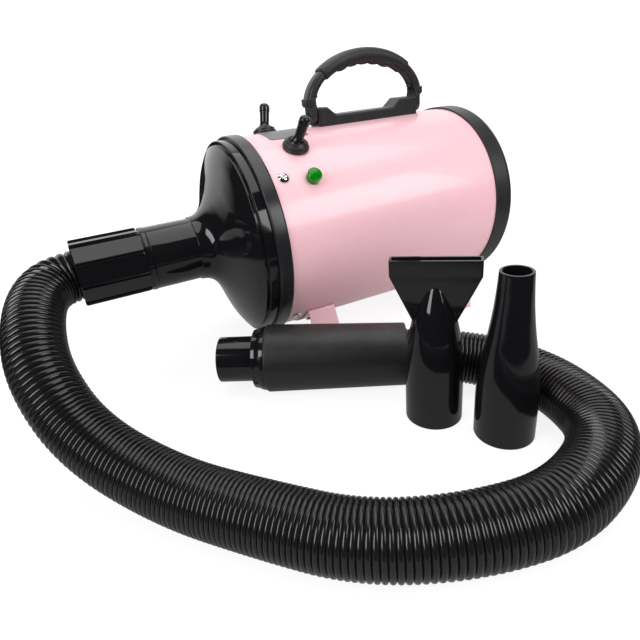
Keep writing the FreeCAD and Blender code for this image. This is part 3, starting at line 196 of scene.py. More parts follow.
# %% Surround and floor
WORLD_LIGHT = 0.50
FLOOR_SIZE = 60.0
DARK_SIDE = Vector((-0.35, -0.88, 0.3)).normalized()     # the room behind the viewer
BRIGHT_WALL, DARK_WALL = 1.15, 0.015     # what gloss sees on the two sides of the room
WALL_EDGE = (-0.48, -0.24)               # where bright turns to dark, as a cosine from DARK_SIDE
PAPER, SHADOWED = 0.82, 0.22             # the floor's grey as a source of light, and where a shadow is seen
GLOW_AT, GLOW = (0.3, 0.9), (0.86, 1.02)               # metres from the middle, and strength
MIRRORED_AT, MIRRORED = (0.42, 0.46), (0.4, DARK_WALL)   # the same, for glossy rays only

world = bpy.data.worlds.new("studio")
bpy.context.scene.world = world
world.use_nodes = True
tree = world.node_tree
tree.nodes.clear()
direction = add_node(tree, "TexCoord").outputs["Generated"]
towards = add_node(tree, "VectorMath", {"operation": "DOT_PRODUCT"}, _0=direction,
                   _1=DARK_SIDE).outputs["Value"]
room = ramp(tree, towards, *WALL_EDGE, BRIGHT_WALL, DARK_WALL)
camera_only = add_node(tree, "LightPath").outputs["Is Camera Ray"]
shown = maths(tree, "MAXIMUM", room, camera_only)
level = add_node(tree, "Mix", _0=seen_directly(tree), _2=WORLD_LIGHT, _3=shown).outputs[0]
surround = add_node(tree, "Background", Color=(1, 1, 1, 1), Strength=level)
tree.links.new(surround.outputs[0], add_node(tree, "OutputWorld").inputs["Surface"])

bpy.ops.mesh.primitive_plane_add(size=FLOOR_SIZE)
floor = bpy.context.object
floor.name = "floor"
floor_finish = bpy.data.materials.new("floor_paper")
floor_finish.use_nodes = True
tree = floor_finish.node_tree
tree.nodes.clear()
paper = add_node(tree, "BsdfDiffuse", Color=(PAPER, PAPER, PAPER, 1))
shadowed = add_node(tree, "BsdfDiffuse", Color=(SHADOWED, SHADOWED, SHADOWED, 1))
away = add_node(tree, "VectorMath", {"operation": "LENGTH"},
                _0=add_node(tree, "TexCoord").outputs["Object"]).outputs["Value"]
glow = add_node(tree, "Emission", Color=(1, 1, 1, 1), Strength=ramp(tree, away, *GLOW_AT, *GLOW))
lifted = add_node(tree, "AddShader", _0=shadowed.outputs[0], _1=glow.outputs[0])
mirrored = add_node(tree, "Emission", Color=(1, 1, 1, 1), Strength=ramp(tree, away, *MIRRORED_AT, *MIRRORED))
glossy_ray = add_node(tree, "LightPath").outputs["Is Glossy Ray"]
look = add_node(tree, "MixShader", Fac=seen_directly(tree), _1=paper.outputs[0], _2=lifted.outputs[0])
look = add_node(tree, "MixShader", Fac=glossy_ray, _1=look.outputs[0], _2=mirrored.outputs[0])
tree.links.new(look.outputs[0], add_node(tree, "OutputMaterial").inputs["Surface"])
floor.data.materials.append(floor_finish)

# %% Softboxes
def softbox(name, place, aim, width, height, watts):
    lamp = bpy.data.lights.new(name, "AREA")
    lamp.shape = "RECTANGLE"
    lamp.size, lamp.size_y = width, height
    lamp.energy = watts
    holder = bpy.data.objects.new(name, lamp)
    holder.location = place
    holder.rotation_euler = (Vector(aim) - Vector(place)).to_track_quat("-Z", "Y").to_euler()
    bpy.context.scene.collection.objects.link(holder)


MIDDLE = (0.0, 0.0, 0.08)
softbox("overhead", (0.15, 0.1, 1.35), MIDDLE, 1.4, 1.1, 9.5)
softbox("left", (-1.15, -0.35, 0.75), MIDDLE, 0.5, 0.9, 9.0)
softbox("front", (0.75, -1.15, 0.85), MIDDLE, 0.8, 0.7, 8.5)

# %% [markdown]
# ## Finishes
# Each finish is a Principled shader fed by small node groups. A group is built once and placed in every
# material that needs it, with its own values: `grain` is the fine texture of a moulding or of powder
# paint, `handling` is the smudges and hairlines that a thing gets in use, `dust` lies on what faces up,
# and `edge wear` finds the corners. They put out only masks and heights, and the shader stays outside.

# %% A helper that declares a node group
def new_group(name, inputs, outputs):
    """Returns the tree, its inputs as sockets, its outputs to link to, and the place on the object."""
    tree = bpy.data.node_groups.new(name, "ShaderNodeTree")
    for label, value in inputs.items():
        socket = tree.interface.new_socket(name=label, in_out="INPUT", socket_type="NodeSocketFloat")
        socket.default_value = value
    for label in outputs:
        tree.interface.new_socket(name=label, in_out="OUTPUT", socket_type="NodeSocketFloat")
    given = tree.nodes.new("NodeGroupInput").outputs
    wanted = tree.nodes.new("NodeGroupOutput").inputs
    return tree, given, wanted, add_node(tree, "TexCoord").outputs["Object"]


def noise_at(tree, place, scale, detail, roughness=0.5):
    return add_node(tree, "TexNoise", Vector=place, Scale=scale, Detail=detail,
                    Roughness=roughness).outputs["Fac"]


# %% Grain: the fine relief of a moulding tool or of powder paint
tree, given, wanted, place = new_group(
    "grain", {"Per Metre": 2500.0, "Wave Per Metre": 40.0, "Wave Share": 0.3}, ["Height"])
fine = noise_at(tree, place, given["Per Metre"], 3.0, 0.6)
wave = noise_at(tree, place, given["Wave Per Metre"], 1.0)
height = add_node(tree, "Mix", _0=given["Wave Share"], _2=fine, _3=wave).outputs[0]
tree.links.new(height, wanted["Height"])
grain_group = tree

# %% Handling: soft smudges, and hairlines that run a few ways
HAIR_TURNS, HAIR_SCALE = (0.3, 1.7, 2.6), (60.0, 2600.0, 60.0)

tree, given, wanted, place = new_group("handling", {"Smudge Per Metre": 22.0}, ["Smudges", "Hairlines"])
blotches = noise_at(tree, place, given["Smudge Per Metre"], 4.0, 0.62)
tree.links.new(ramp(tree, blotches, 0.42, 0.72), wanted["Smudges"])
lines = None
for turn in HAIR_TURNS:
    turned = add_node(tree, "Mapping", Vector=place, Rotation=(turn, turn * 0.7, turn),
                      Scale=HAIR_SCALE).outputs[0]
    hair = ramp(tree, noise_at(tree, turned, 1.0, 0.0), 0.72, 0.76)
    lines = hair if lines is None else maths(tree, "MAXIMUM", lines, hair)
tree.links.new(lines, wanted["Hairlines"])
handling_group = tree

# %% Dust: thin, patchy, and only on what faces up
tree, given, wanted, place = new_group("dust", {"Amount": 0.2}, ["Mask"])
facing = add_node(tree, "SeparateXYZ", Vector=add_node(tree, "NewGeometry").outputs["Normal"]).outputs["Z"]
patches = ramp(tree, noise_at(tree, place, 70.0, 6.0, 0.7), 0.35, 0.75)
lying = maths(tree, "MULTIPLY", ramp(tree, facing, 0.35, 1.0), patches)
tree.links.new(maths(tree, "MULTIPLY", lying, given["Amount"]), wanted["Mask"])
dust_group = tree

# %% Edge wear: corners rub smooth and a little paler
tree, given, wanted, place = new_group("edge wear", {"Amount": 0.5}, ["Mask"])
point = add_node(tree, "NewGeometry").outputs["Pointiness"]
broken = ramp(tree, noise_at(tree, place, 160.0, 3.0), 0.3, 0.7)
corner = maths(tree, "MULTIPLY", ramp(tree, point, 0.515, 0.58), broken)
tree.links.new(maths(tree, "MULTIPLY", corner, given["Amount"]), wanted["Mask"])
edge_group = tree


# %% One builder for the opaque finishes
DUST_COLOUR = (0.45, 0.43, 0.41, 1)
DUST_ROUGHENS, WORN_PALER, COAT_ROUGHNESS = 0.5, 0.06, 0.05


def set_inputs(node, **values):
    for name, value in values.items():
        node.inputs[name.replace("_", " ")].default_value = value


def use_group(tree, group, **values):
    node = tree.nodes.new("ShaderNodeGroup")
    node.node_tree = group
    set_inputs(node, **values)
    return node.outputs


def new_finish(name, colour, roughness, spread=0.05, grain=2500.0, relief=0.01, wave=0.2, tint=0.08,
               dust=0.04, wear=0.15, hairlines=0.02, metallic=0.0, coat=0.0):
    """colour is linear. spread is how far smudges change the roughness, relief the grain's depth in mm,
    and tint how much the colour varies."""
    material = bpy.data.materials.new(name)
    material.use_nodes = True
    tree = material.node_tree
    shader = tree.nodes["Principled BSDF"]
    marks = use_group(tree, handling_group)
    settled = use_group(tree, dust_group, Amount=dust)["Mask"]
    worn = use_group(tree, edge_group, Amount=wear)["Mask"]
    relief_height = use_group(tree, grain_group, Per_Metre=grain, Wave_Share=wave)["Height"]
    darker = tuple(c * (1 - tint) for c in colour) + (1,)
    paler = tuple(c + WORN_PALER * (1 - c) for c in colour) + (1,)
    base = blend(tree, worn, blend(tree, marks["Smudges"], (*colour, 1), darker), paler)
    tree.links.new(blend(tree, settled, base, DUST_COLOUR), shader.inputs["Base Color"])
    rough = maths(tree, "MULTIPLY_ADD", marks["Smudges"], spread)
    rough.node.inputs[2].default_value = roughness
    rough = maths(tree, "MAXIMUM", rough, maths(tree, "MULTIPLY", marks["Hairlines"], roughness + hairlines))
    rough = maths(tree, "ADD", rough, maths(tree, "MULTIPLY", settled, DUST_ROUGHENS))
    tree.links.new(rough, shader.inputs["Roughness"])
    lumps = add_node(tree, "Bump", Strength=1.0, Distance=relief * MM, Height=relief_height)
    tree.links.new(lumps.outputs[0], shader.inputs["Normal"])
    set_inputs(shader, Metallic=metallic, Coat_Weight=coat, Coat_Roughness=COAT_ROUGHNESS)
    return material


# %% The dryer's finishes
pink_paint = new_finish("pink_powder_paint", (0.90, 0.53, 0.585), 0.30, grain=900.0, relief=0.008, wave=0.5,
                        tint=0.03, dust=0.0, wear=0.0, hairlines=0.0, coat=0.35)
gloss_black = new_finish("gloss_black_plastic", (0.006, 0.006, 0.0075), 0.06, grain=300.0, relief=0.002,
                         wave=0.8, dust=0.004, wear=0.0)
satin_black = new_finish("satin_black_plastic", (0.018, 0.018, 0.020), 0.33, spread=0.08, relief=0.03,
                         wave=0.1)
ring_black = new_finish("ring_black_plastic", (0.014, 0.014, 0.016), 0.24, spread=0.08, relief=0.012)
grip_black = new_finish("grip_black_rubber", (0.015, 0.015, 0.017), 0.46, spread=0.1, grain=3500.0,
                        relief=0.05, wave=0.05)
sleeve_black = new_finish("sleeve_matt_black", (0.010, 0.010, 0.011), 0.42, spread=0.06, grain=4000.0,
                          relief=0.02, wave=0.05)
hose_black = new_finish("hose_black_plastic", (0.008, 0.008, 0.009), 0.13, spread=0.06, grain=1500.0,
                        dust=0.006, wear=0.0)
boot_rubber = new_finish("boot_rubber", (0.011, 0.011, 0.012), 0.34, spread=0.1, relief=0.02)
lever_rubber = new_finish("lever_rubber", (0.008, 0.008, 0.009), 0.16, spread=0.06)
pad_rubber = new_finish("pad_rubber", (0.015, 0.015, 0.015), 0.6, spread=0.1, relief=0.05)
bright_steel = new_finish("bright_plated_steel", (0.72, 0.71, 0.69), 0.12, spread=0.12, relief=0.004,
                          tint=0.2, metallic=1.0)
turned_steel = new_finish("turned_steel", (0.5, 0.5, 0.5), 0.3, spread=0.15, grain=5000.0, tint=0.25,
                          metallic=1.0)
cast_alloy = new_finish("cast_alloy", (0.55, 0.55, 0.57), 0.42, spread=0.15, grain=1800.0, relief=0.06,
                        tint=0.2, metallic=1.0)
plate_grey = new_finish("plate_grey", (0.17, 0.175, 0.18), 0.4, spread=0.12, grain=3000.0, relief=0.02)
dark_moulding = new_finish("dark_moulding", (0.05, 0.045, 0.04), 0.5, spread=0.1, relief=0.03)
lens_core = new_finish("lens_core_green", (0.005, 0.36, 0.01), 0.2, dust=0.0, wear=0.0, tint=0.3)
foam_grey = new_finish("foam_grey", (0.03, 0.03, 0.03), 0.9, grain=1100.0, relief=0.9, wave=0.0)
print(len(bpy.data.materials), "finishes so far")

# %% [markdown]
# ### The green lens
# The pilot lamp's lens is a small green cap of clear plastic with a faceted inside. Glass keeps a plain
# transmission on the shader, and the colour comes from the lens itself.

# %% Green lens
CLEAR_GREEN, DEEP_GREEN = (0.0, 0.62, 0.01, 1), (0.0, 0.45, 0.008, 1)

lens_green = bpy.data.materials.new("lens_green_plastic")
lens_green.use_nodes = True
tree = lens_green.node_tree
shader = tree.nodes["Principled BSDF"]
marks = use_group(tree, handling_group, Smudge_Per_Metre=140.0)
tree.links.new(blend(tree, marks["Smudges"], CLEAR_GREEN, DEEP_GREEN), shader.inputs["Base Color"])
set_inputs(shader, Roughness=0.05, Transmission_Weight=0.8, IOR=1.49)

# %% [markdown]
# ## Shapes made by spinning and sweeping
# Most pieces are turned: an outline of (along, radius) points is spun round an axis. `soften` rounds
# the outline's corners first, because a real edge always has a small radius, and on gloss black that
# radius is the thin bright line that shows the edge. `flowing` draws a smooth curve through points.

# %% Outline helpers
SHARED_SIDE, WHOLE_SIDE = 0.48, 0.98     # how much of a side one fillet may take


def soften(corners, steps=4):
    """corners are (along, radius, fillet), in mm, as a closed outline. Each fillet becomes an arc."""
    outline = []
    count = len(corners)
    for i, (x, y, fillet) in enumerate(corners):
        here = Vector((x, y))
        back = Vector(corners[i - 1][:2]) - here
        ahead = Vector(corners[(i + 1) % count][:2]) - here
        if fillet <= 0:
            outline.append(here)
            continue
        half = back.angle(ahead) / 2
        room = [SHARED_SIDE if corners[(i + step) % count][2] > 0 else WHOLE_SIDE for step in (-1, 1)]
        reach = min(fillet / tan(half), room[0] * back.length, room[1] * ahead.length)
        radius = reach * tan(half)
        middle = (back.normalized() + ahead.normalized()).normalized()
        centre = here + middle * (radius / sin(half))
        first = here + back.normalized() * reach - centre
        last = here + ahead.normalized() * reach - centre
        for k in range(steps + 1):
            outline.append(centre + first.slerp(last, k / steps).normalized() * first.length)
    return [(p.x, p.y) for p in outline]


def flowing(points, steps=6):
    """A Catmull-Rom curve through the points."""
    line = []
    padded = [points[0]] + list(points) + [points[-1]]
    for p0, p1, p2, p3 in zip(padded, padded[1:], padded[2:], padded[3:]):
        for k in range(steps):
            t = k / steps
            line.append(tuple(0.5 * (2 * b + (c - a) * t + (2 * a - 5 * b + 4 * c - d) * t * t
                                     + (3 * b - a - 3 * c + d) * t ** 3)
                              for a, b, c, d in zip(p0, p1, p2, p3)))
    return line + [tuple(points[-1])]


# %% Mesh helpers
WELD_DISTANCE = 1e-7
SHARP_ANGLE = 38.0


def weld(mesh):
    """Merges the points that meet at an axis, drops what that leaves loose, and turns the faces outwards."""
    work = bmesh.new()
    work.from_mesh(mesh)
    bmesh.ops.remove_doubles(work, verts=work.verts, dist=WELD_DISTANCE)
    bmesh.ops.delete(work, geom=[edge for edge in work.edges if not edge.link_faces], context="EDGES")
    bmesh.ops.recalc_face_normals(work, faces=work.faces)
    work.to_mesh(mesh)
    work.free()


def make_piece(name, verts, faces, material, body="root", node=None, slot=None, sharp=SHARP_ANGLE):
    """Makes an object of the mesh, shades it, and lets it ride on its body and stand for its node."""
    mesh = bpy.data.meshes.new(name)
    mesh.from_pydata([tuple(v) for v in verts], [], faces)
    weld(mesh)
    mesh.shade_smooth()
    mesh.set_sharp_from_angle(angle=radians(sharp))
    mesh.materials.append(material)
    piece = bpy.data.objects.new(name, mesh)
    bpy.context.scene.collection.objects.link(piece)
    weighted = piece.modifiers.new("even_shading", "WEIGHTED_NORMAL")
    weighted.keep_sharp = True
    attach(piece, body)
    if node:
        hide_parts(node)
    return piece


def rings_to_faces(rings, around, closed_along=True):
    """Quads between neighbouring rings of `around` points each."""
    faces = []
    last = rings if closed_along else rings - 1
    for i in range(last):
        for k in range(around):
            a, b = i * around + k, i * around + (k + 1) % around
            c, d = ((i + 1) % rings) * around + (k + 1) % around, ((i + 1) % rings) * around + k
            faces.append((a, b, c, d))
    return faces


def spin(outline, place, turns=96):
    """Spins a closed (along, radius) outline, in mm, round local X."""
    verts = []
    for along, radius in outline:
        for k in range(turns):
            a = 2 * pi * k / turns
            verts.append(place @ Vector((along * MM, radius * MM * cos(a), radius * MM * sin(a))))
    return verts, rings_to_faces(len(outline), turns)

# %% [markdown]
# ## The drum
# A sheet steel tube, powder painted pink, with a moulded ring at its front edge. Both are turned. The
# tube's outline is a thin wall with tiny radii, so the sheet's edge still shows where it meets the cap.

# %% Drum shell and front ring
SHELL_INSIDE = SHELL_R - 1.0
shell_outline = soften([(0, SHELL_R, 0.3), (SHELL_LENGTH, SHELL_R, 0.3), (SHELL_LENGTH, SHELL_INSIDE, 0.3),
                        (0, SHELL_INSIDE, 0.3)], 2)
make_piece("shell", *spin(shell_outline, drum_place, 160), pink_paint, node="body_shell", slot="body_paint")
ring_outline = soften([(-12, 87.7, 0.3), (-12, 91.2, 1.1), (-1.4, 91.2, 0.5), (0, 90.6, 0.6), (0, 87.7, 0.2)])
make_piece("edge_ring", *spin(ring_outline, drum_place, 160), ring_black, node="front_ring",
           slot="satin_black")

# %% [markdown]
# ## The trumpet cone
# Gloss black plastic, moulded in one piece: a step against the ring, a rolled lip, a deep ogee that
# narrows to the neck, then a plain spout with a smaller spigot that the hose's cuff slides over. The
# ogee is the one free curve here, so it is drawn through a few points, and everything else has radii.

# %% Cone
NECK_X, NECK_R, LIP_R = -58.0, 28.3, 84.6
BELL_LENGTH, BELL_WALL, NECK_BORE_R = 35.0, 1.6, 24.6
OGEE = ((0.0, 0.0), (0.2, 0.025), (0.38, 0.11), (0.52, 0.26), (0.64, 0.45), (0.76, 0.67), (0.88, 0.86),
        (1.0, 1.0))

ogee = [(NECK_X + BELL_LENGTH * along, NECK_R + (LIP_R - 1.4 - NECK_R) * up) for along, up in OGEE]
outer_bell = flowing(ogee, 7)
inner_bell = [(x + 2.2, max(r - BELL_WALL, NECK_BORE_R)) for x, r in outer_bell[::-1]]
cone_corners = [(-22.2, 84.6, 0.5), (-20, 84.6, 0.25), (-20, 88.2, 0.7), (-12.02, 88.2, 0.2),
                (-12.02, 87.5, 0.0), (16, 87.5, 0.3), (16, 84.5, 0.3), (-16, 84.5, 0.5)]
spout_corners = [(-98, 22.7, 0.0), (-136, 21.8, 0.3), (-136, 24.4, 0.8), (-98, 24.4, 0.2), (-98, 27.3, 0.6),
                 (-58.4, 27.3, 0.25), (-58.0, 28.0, 0.25)]
# The bells' own end points take part only so that the fillets next to them come out right.
lip = soften(cone_corners + [inner_bell[0] + (0,), outer_bell[-1] + (0.6,)])[:-6]
spout = soften([inner_bell[-1] + (0,)] + spout_corners + [outer_bell[0] + (0,)])[1:-1]
cone_outline = lip + inner_bell + spout + outer_bell
make_piece("trumpet_cone", *spin(cone_outline, drum_place, 144), gloss_black, node="front_cone",
           slot="gloss_black")

# %% [markdown]
# ## Cross-head screws
# Plated pan heads with a cross recess. The head is spun, and the cross is cut with two thin boxes by a
# Boolean modifier, then applied, because a drawn-on cross would not catch the light.

# %% A pan-head screw
def frame_along(place, way, side=X_AXIS):
    """A matrix whose local X points along way, from place."""
    way = Vector(way).normalized()
    y_axis = (Vector(side) - way * way.dot(side)).normalized()
    z_axis = way.cross(y_axis)
    turn = Matrix((way, y_axis, z_axis)).transposed().to_4x4()
    return Matrix.Translation(place) @ turn


def box_mesh(low, high, place):
    corners = [place @ Vector((x, y, z)) for x in (low[0], high[0]) for y in (low[1], high[1])
               for z in (low[2], high[2])]
    return corners, [(0, 1, 3, 2), (4, 6, 7, 5), (0, 4, 5, 1), (2, 3, 7, 6), (0, 2, 6, 4), (1, 5, 7, 3)]


def join_meshes(parts):
    verts, faces = [], []
    for more_verts, more_faces in parts:
        start = len(verts)
        verts += more_verts
        faces += [tuple(i + start for i in face) for face in more_faces]
    return verts, faces


def cut_with(piece, verts, faces, operation="DIFFERENCE", crossed=False):
    """Cuts a closed mesh out of piece, or adds it, and applies that. crossed says the mesh crosses itself."""
    mesh = bpy.data.meshes.new("cutter")
    mesh.from_pydata([tuple(v) for v in verts], [], faces)
    weld(mesh)
    cutter = bpy.data.objects.new("cutter", mesh)
    bpy.context.scene.collection.objects.link(cutter)
    cut = piece.modifiers.new("cut", "BOOLEAN")
    cut.operation, cut.object, cut.solver, cut.use_self = operation, cutter, "EXACT", crossed
    piece.modifiers["even_shading"].show_viewport = False
    bpy.context.view_layer.update()
    done = bpy.data.meshes.new_from_object(piece.evaluated_get(bpy.context.evaluated_depsgraph_get()))
    piece.modifiers.remove(cut)
    piece.modifiers["even_shading"].show_viewport = True
    piece.data = done
    done.shade_smooth()
    done.set_sharp_from_angle(angle=radians(SHARP_ANGLE))
    bpy.data.objects.remove(cutter)


def screw_mesh(place, radius, height):
    """The head's spun mesh, and the two bars of its cross."""
    head = soften([(-1.0, 0.0, 0), (-1.0, radius * 0.5, 0), (0, radius, 0.3), (height * 0.35, radius, 0.4),
                   (height, radius * 0.55, radius * 0.5), (height, 0.0, 0)], 5)
    deep, long, wide = height * 0.35 * MM, radius * 0.58 * MM, radius * 0.1 * MM
    top = height * 1.3 * MM
    bars = [box_mesh((deep, -long, -wide), (top, long, wide), place),
            box_mesh((deep, -wide, -long), (top, wide, long), place)]
    return spin(head, place, 32), bars


# %% The screws that hold the cone in the drum
def outward(angle):
    """The direction away from the drum's axis, at an angle from the top towards the user's side."""
    a = radians(angle)
    return Vector((0, -sin(a), cos(a)))


def on_drum(station, radius, angle):
    """station and radius in mm."""
    return DRUM + X_AXIS * (station * MM) + outward(angle) * (radius * MM)


SCREW_STATION, SCREW_R, SCREW_HEIGHT = 10.3, 4.8, 2.3
SCREW_ANGLES = (48.0, 136.5, -48.0, -136.5)

screw_places = [frame_along(on_drum(SCREW_STATION, SHELL_R + 0.05, angle), outward(angle), (0.8, 0.3, 0.5))
                for angle in SCREW_ANGLES]
heads, bars = zip(*(screw_mesh(place, SCREW_R, SCREW_HEIGHT) for place in screw_places))
screws = make_piece("cone_screws", *join_meshes(heads), bright_steel, node="shell_screws",
                    slot="bright_metal")
cut_with(screws, *join_meshes([bar for pair in bars for bar in pair]), crossed=True)

# %% [markdown]
# ## Toggle switches in rubber boots
# Two toggles stand on the panel, each sealed by a stepped rubber boot. The boot stays on the drum, and
# the finger over the lever moves with it, so they are two pieces that meet at a collar.

# %% Boots and levers
BOOT_STEPS = [(0.05, 8.0, 0), (0.05, 11.2, 0.5), (2.3, 11.5, 0.7), (2.7, 10.3, 0.3), (4.7, 10.4, 0.8),
              (5.4, 9.0, 0.4), (7.0, 7.2, 0.9), (7.0, 6.4, 0.3), (6.2, 6.4, 0), (5.0, 8.0, 0)]
BALL_R, LEVER_LEAN = 7.5, 14.0
DOME = [(BALL_R * sin(a), BALL_R * cos(a), 0) for a in (radians(8.0 * k) for k in range(1, 7))]
FINGER = [(1.0, 0, 0)] + DOME + [(7.4, 4.5, 1.5), (9.0, 4.2, 2), (18.6, 4.4, 0.4), (19.2, 4.75, 0.4),
                                 (26.4, 4.75, 4.6), (26.4, 0, 0)]

for number in (1, 2):
    joint = joints["switch_%d_toggle" % number]
    pivot, across = Vector(joint["pos_m"]), Vector(joint["axis"])
    up = X_AXIS.cross(across)
    base = pivot - up * (2.0 * MM)
    make_piece("boot_%d" % number, *spin(soften(BOOT_STEPS), frame_along(base, up), 64), boot_rubber,
               node="switch_%d_boot" % number, slot="soft_rubber")
    lean = radians(LEVER_LEAN)
    along = up * cos(lean) + X_AXIS * sin(lean)
    make_piece("lever_%d" % number, *spin(soften(FINGER, 7), frame_along(pivot, along), 48), lever_rubber,
               body="lever_%d" % number, node="switch_%d_lever" % number, slot="soft_rubber")

# %% [markdown]
# ## Label plate and pilot lamp
# The plate is a thin grey sheet bent to the drum: strips of points across it are skinned into a patch.
# The lamp is a small turned cap with a faceted cone inside it, which is what glints in the green.

# %% Label plate
PLATE_START, PLATE_LENGTH, PLATE_MIDDLE, PLATE_HALF = 19.0, 37.0, 6.2, 11.2
PLATE_INNER, PLATE_OUTER, PLATE_BEVEL, PLATE_CLIP, PLATE_STEPS = 89.02, 89.5, 0.12, 2.0, 20


def skin(rings):
    """Skins rings of points, each a list of equal length, and closes both ends."""
    around = len(rings[0])
    verts = [point for ring in rings for point in ring]
    faces = rings_to_faces(len(rings), around, closed_along=False)
    faces += [tuple(range(around)), tuple(range(len(verts) - around, len(verts)))[::-1]]
    return verts, faces


columns = []
for k in range(PLATE_STEPS + 1):
    angle = PLATE_MIDDLE - PLATE_HALF + 2 * PLATE_HALF * k / PLATE_STEPS
    edge = min(k, PLATE_STEPS - k) * 2 * PLATE_HALF * pi / 180 * PLATE_OUTER / PLATE_STEPS
    clip = max(0.0, PLATE_CLIP - edge)
    x0, x1 = PLATE_START + clip, PLATE_START + PLATE_LENGTH - clip
    columns.append([on_drum(x, radius, angle) for x, radius in (
        (x0, PLATE_INNER), (x0, PLATE_OUTER - PLATE_BEVEL), (x0 + PLATE_BEVEL, PLATE_OUTER),
        (x1 - PLATE_BEVEL, PLATE_OUTER), (x1, PLATE_OUTER - PLATE_BEVEL), (x1, PLATE_INNER))])
make_piece("panel_plate", *skin(columns), plate_grey, node="label_plate", slot="plate_grey")

# %% Pilot lamp
LAMP_STATION, LAMP_ANGLE, LAMP_R, LAMP_PROUD = 35.0, 51.1, 6.2, 7.0

lamp_place = frame_along(on_drum(LAMP_STATION, SHELL_R, LAMP_ANGLE), outward(LAMP_ANGLE))
lens_outline = soften([(-0.6, 4.7, 0), (-0.6, LAMP_R - 0.3, 0), (0.3, LAMP_R, 0.3), (LAMP_PROUD, LAMP_R, 1.1),
                       (LAMP_PROUD, 0, 0), (5.6, 0, 0), (5.4, 4.7, 0.4)])
make_piece("lamp_cap", *spin(lens_outline, lamp_place, 48), lens_green, node="lamp_lens", slot="lens_green")
facet_outline = [(-0.5, 0), (-0.5, 4.5), (3.2, 4.5), (4.9, 2.6), (4.0, 0)]
make_piece("lamp_facets", *spin(facet_outline, lamp_place, 8), lens_core, slot="lens_green", sharp=10)

# %% [markdown]
# ## The drop handle
# A base bar with raised ears is screwed to the drum, and a bail folds in the ears. Bars with a changing
# section are swept: a ring of points is placed at each station of a line, and the rings are skinned.
# The middle of the bail carries a softer grip, whose underside is scalloped for the fingers.

# %% A bar's section
def squarish(count, half_y, half_up, half_down, power=3.2):
    """A rounded section, (y, up) points, that may hang lower than it rises."""
    points = []
    for k in range(count):
        a = 2 * pi * k / count
        c, s = cos(a), sin(a)
        y = half_y * copysign(abs(c) ** (2 / power), c)
        up = (half_up if s > 0 else half_down) * copysign(abs(s) ** (2 / power), s)
        points.append((y, up))
    return points


# %% Bail and grip
HANDLE_START, HANDLE_LENGTH = 76.5, 109.5
BAIL_THICK, BAIL_WIDE, BAIL_HEIGHT = 8.5, 15.5, 43.0
ARCH_ABOVE_PIVOT, CHEEK_GAP = 7.8, 0.4
SECTION_POINTS = 36
WAVE_PITCH, WAVE_DEPTH, WAVE_FADE = 13.0, 2.0, 4.0
GRIP_START, GRIP_STEPS = 41.0, 160
GRIP_OVER_SIDE, GRIP_OVER_TOP, GRIP_CROWN = 1.9, 1.5, 0.9
GRIP_END_ROUND = (0.9, 0.35, 0.08)       # how far the first sections shrink, at either end

pivot = Vector(joints["handle_fold"]["pos_m"])
handle_middle = Vector((DRUM.x + (HANDLE_START + HANDLE_LENGTH / 2) * MM, pivot.y, pivot.z))
cheek_start = HANDLE_LENGTH / 2 + CHEEK_GAP
half_span = cheek_start + BAIL_THICK / 2
arch_rise = BAIL_HEIGHT - BAIL_THICK / 2


def by_handle(x, y, z):
    """A place from the middle of the handle's pivots, in mm."""
    return handle_middle + Vector((x, y, z)) * MM


def arch_station(angle):
    """Centre, outward normal and x offset of the half-ellipse at an angle from its rear foot."""
    a = radians(angle)
    x, z = half_span * cos(a), arch_rise * sin(a)
    normal = Vector((x / half_span ** 2, 0, z / arch_rise ** 2)).normalized()
    return by_handle(x, 0, ARCH_ABOVE_PIVOT + z), normal, x


def arch_ring(angle, half_y, half_up, half_down, shrink=0.0, power=3.2):
    centre, normal, x = arch_station(angle)
    section = squarish(SECTION_POINTS, half_y - shrink, half_up - shrink, half_down - shrink, power)
    return [centre + Vector((0, y * MM, 0)) + normal * (up * MM) for y, up in section]


half_thick, half_wide = BAIL_THICK / 2, BAIL_WIDE / 2
bail_rings = [arch_ring(angle, half_wide, half_thick, half_thick) for angle in range(0, 181, 3)]
grip_rings = []
for k in range(GRIP_STEPS + 1):
    angle = GRIP_START + (180 - 2 * GRIP_START) * k / GRIP_STEPS
    into_waves = 2.5 * WAVE_PITCH - abs(arch_station(angle)[2])
    wave = WAVE_DEPTH * abs(cos(pi * arch_station(angle)[2] / WAVE_PITCH))
    wave *= max(0.0, min(1.0, into_waves / WAVE_FADE))
    crown = GRIP_CROWN * sin(radians(angle)) ** 4
    from_end = min(k, GRIP_STEPS - k)
    round_over = GRIP_END_ROUND[from_end] if from_end < len(GRIP_END_ROUND) else 0.0
    grip_rings.append(arch_ring(angle, half_wide + GRIP_OVER_SIDE, half_thick + GRIP_OVER_TOP + crown,
                                half_thick + GRIP_OVER_TOP + wave, round_over, 2.7))
make_piece("handle_grip_cover", *skin(grip_rings), grip_black, body="handle", node="handle_grip",
           slot="satin_black")

# %% Cheeks: the bail's two ends, which turn on pins in the ears
CHEEK_THICK, CHEEK_TOP = 5.6, 10.2
BLOCK_SIDES = ((8.9, 0.0), (9.1, 0.3), (9.5, 0.4), (14.4, 0.4), (14.8, 0.3), (15.0, -0.1))
LUG = Vector((2.2, 3.4, 1.3)) * MM       # half the size of the small lug inside each end
LUG_HEIGHT = 16.5


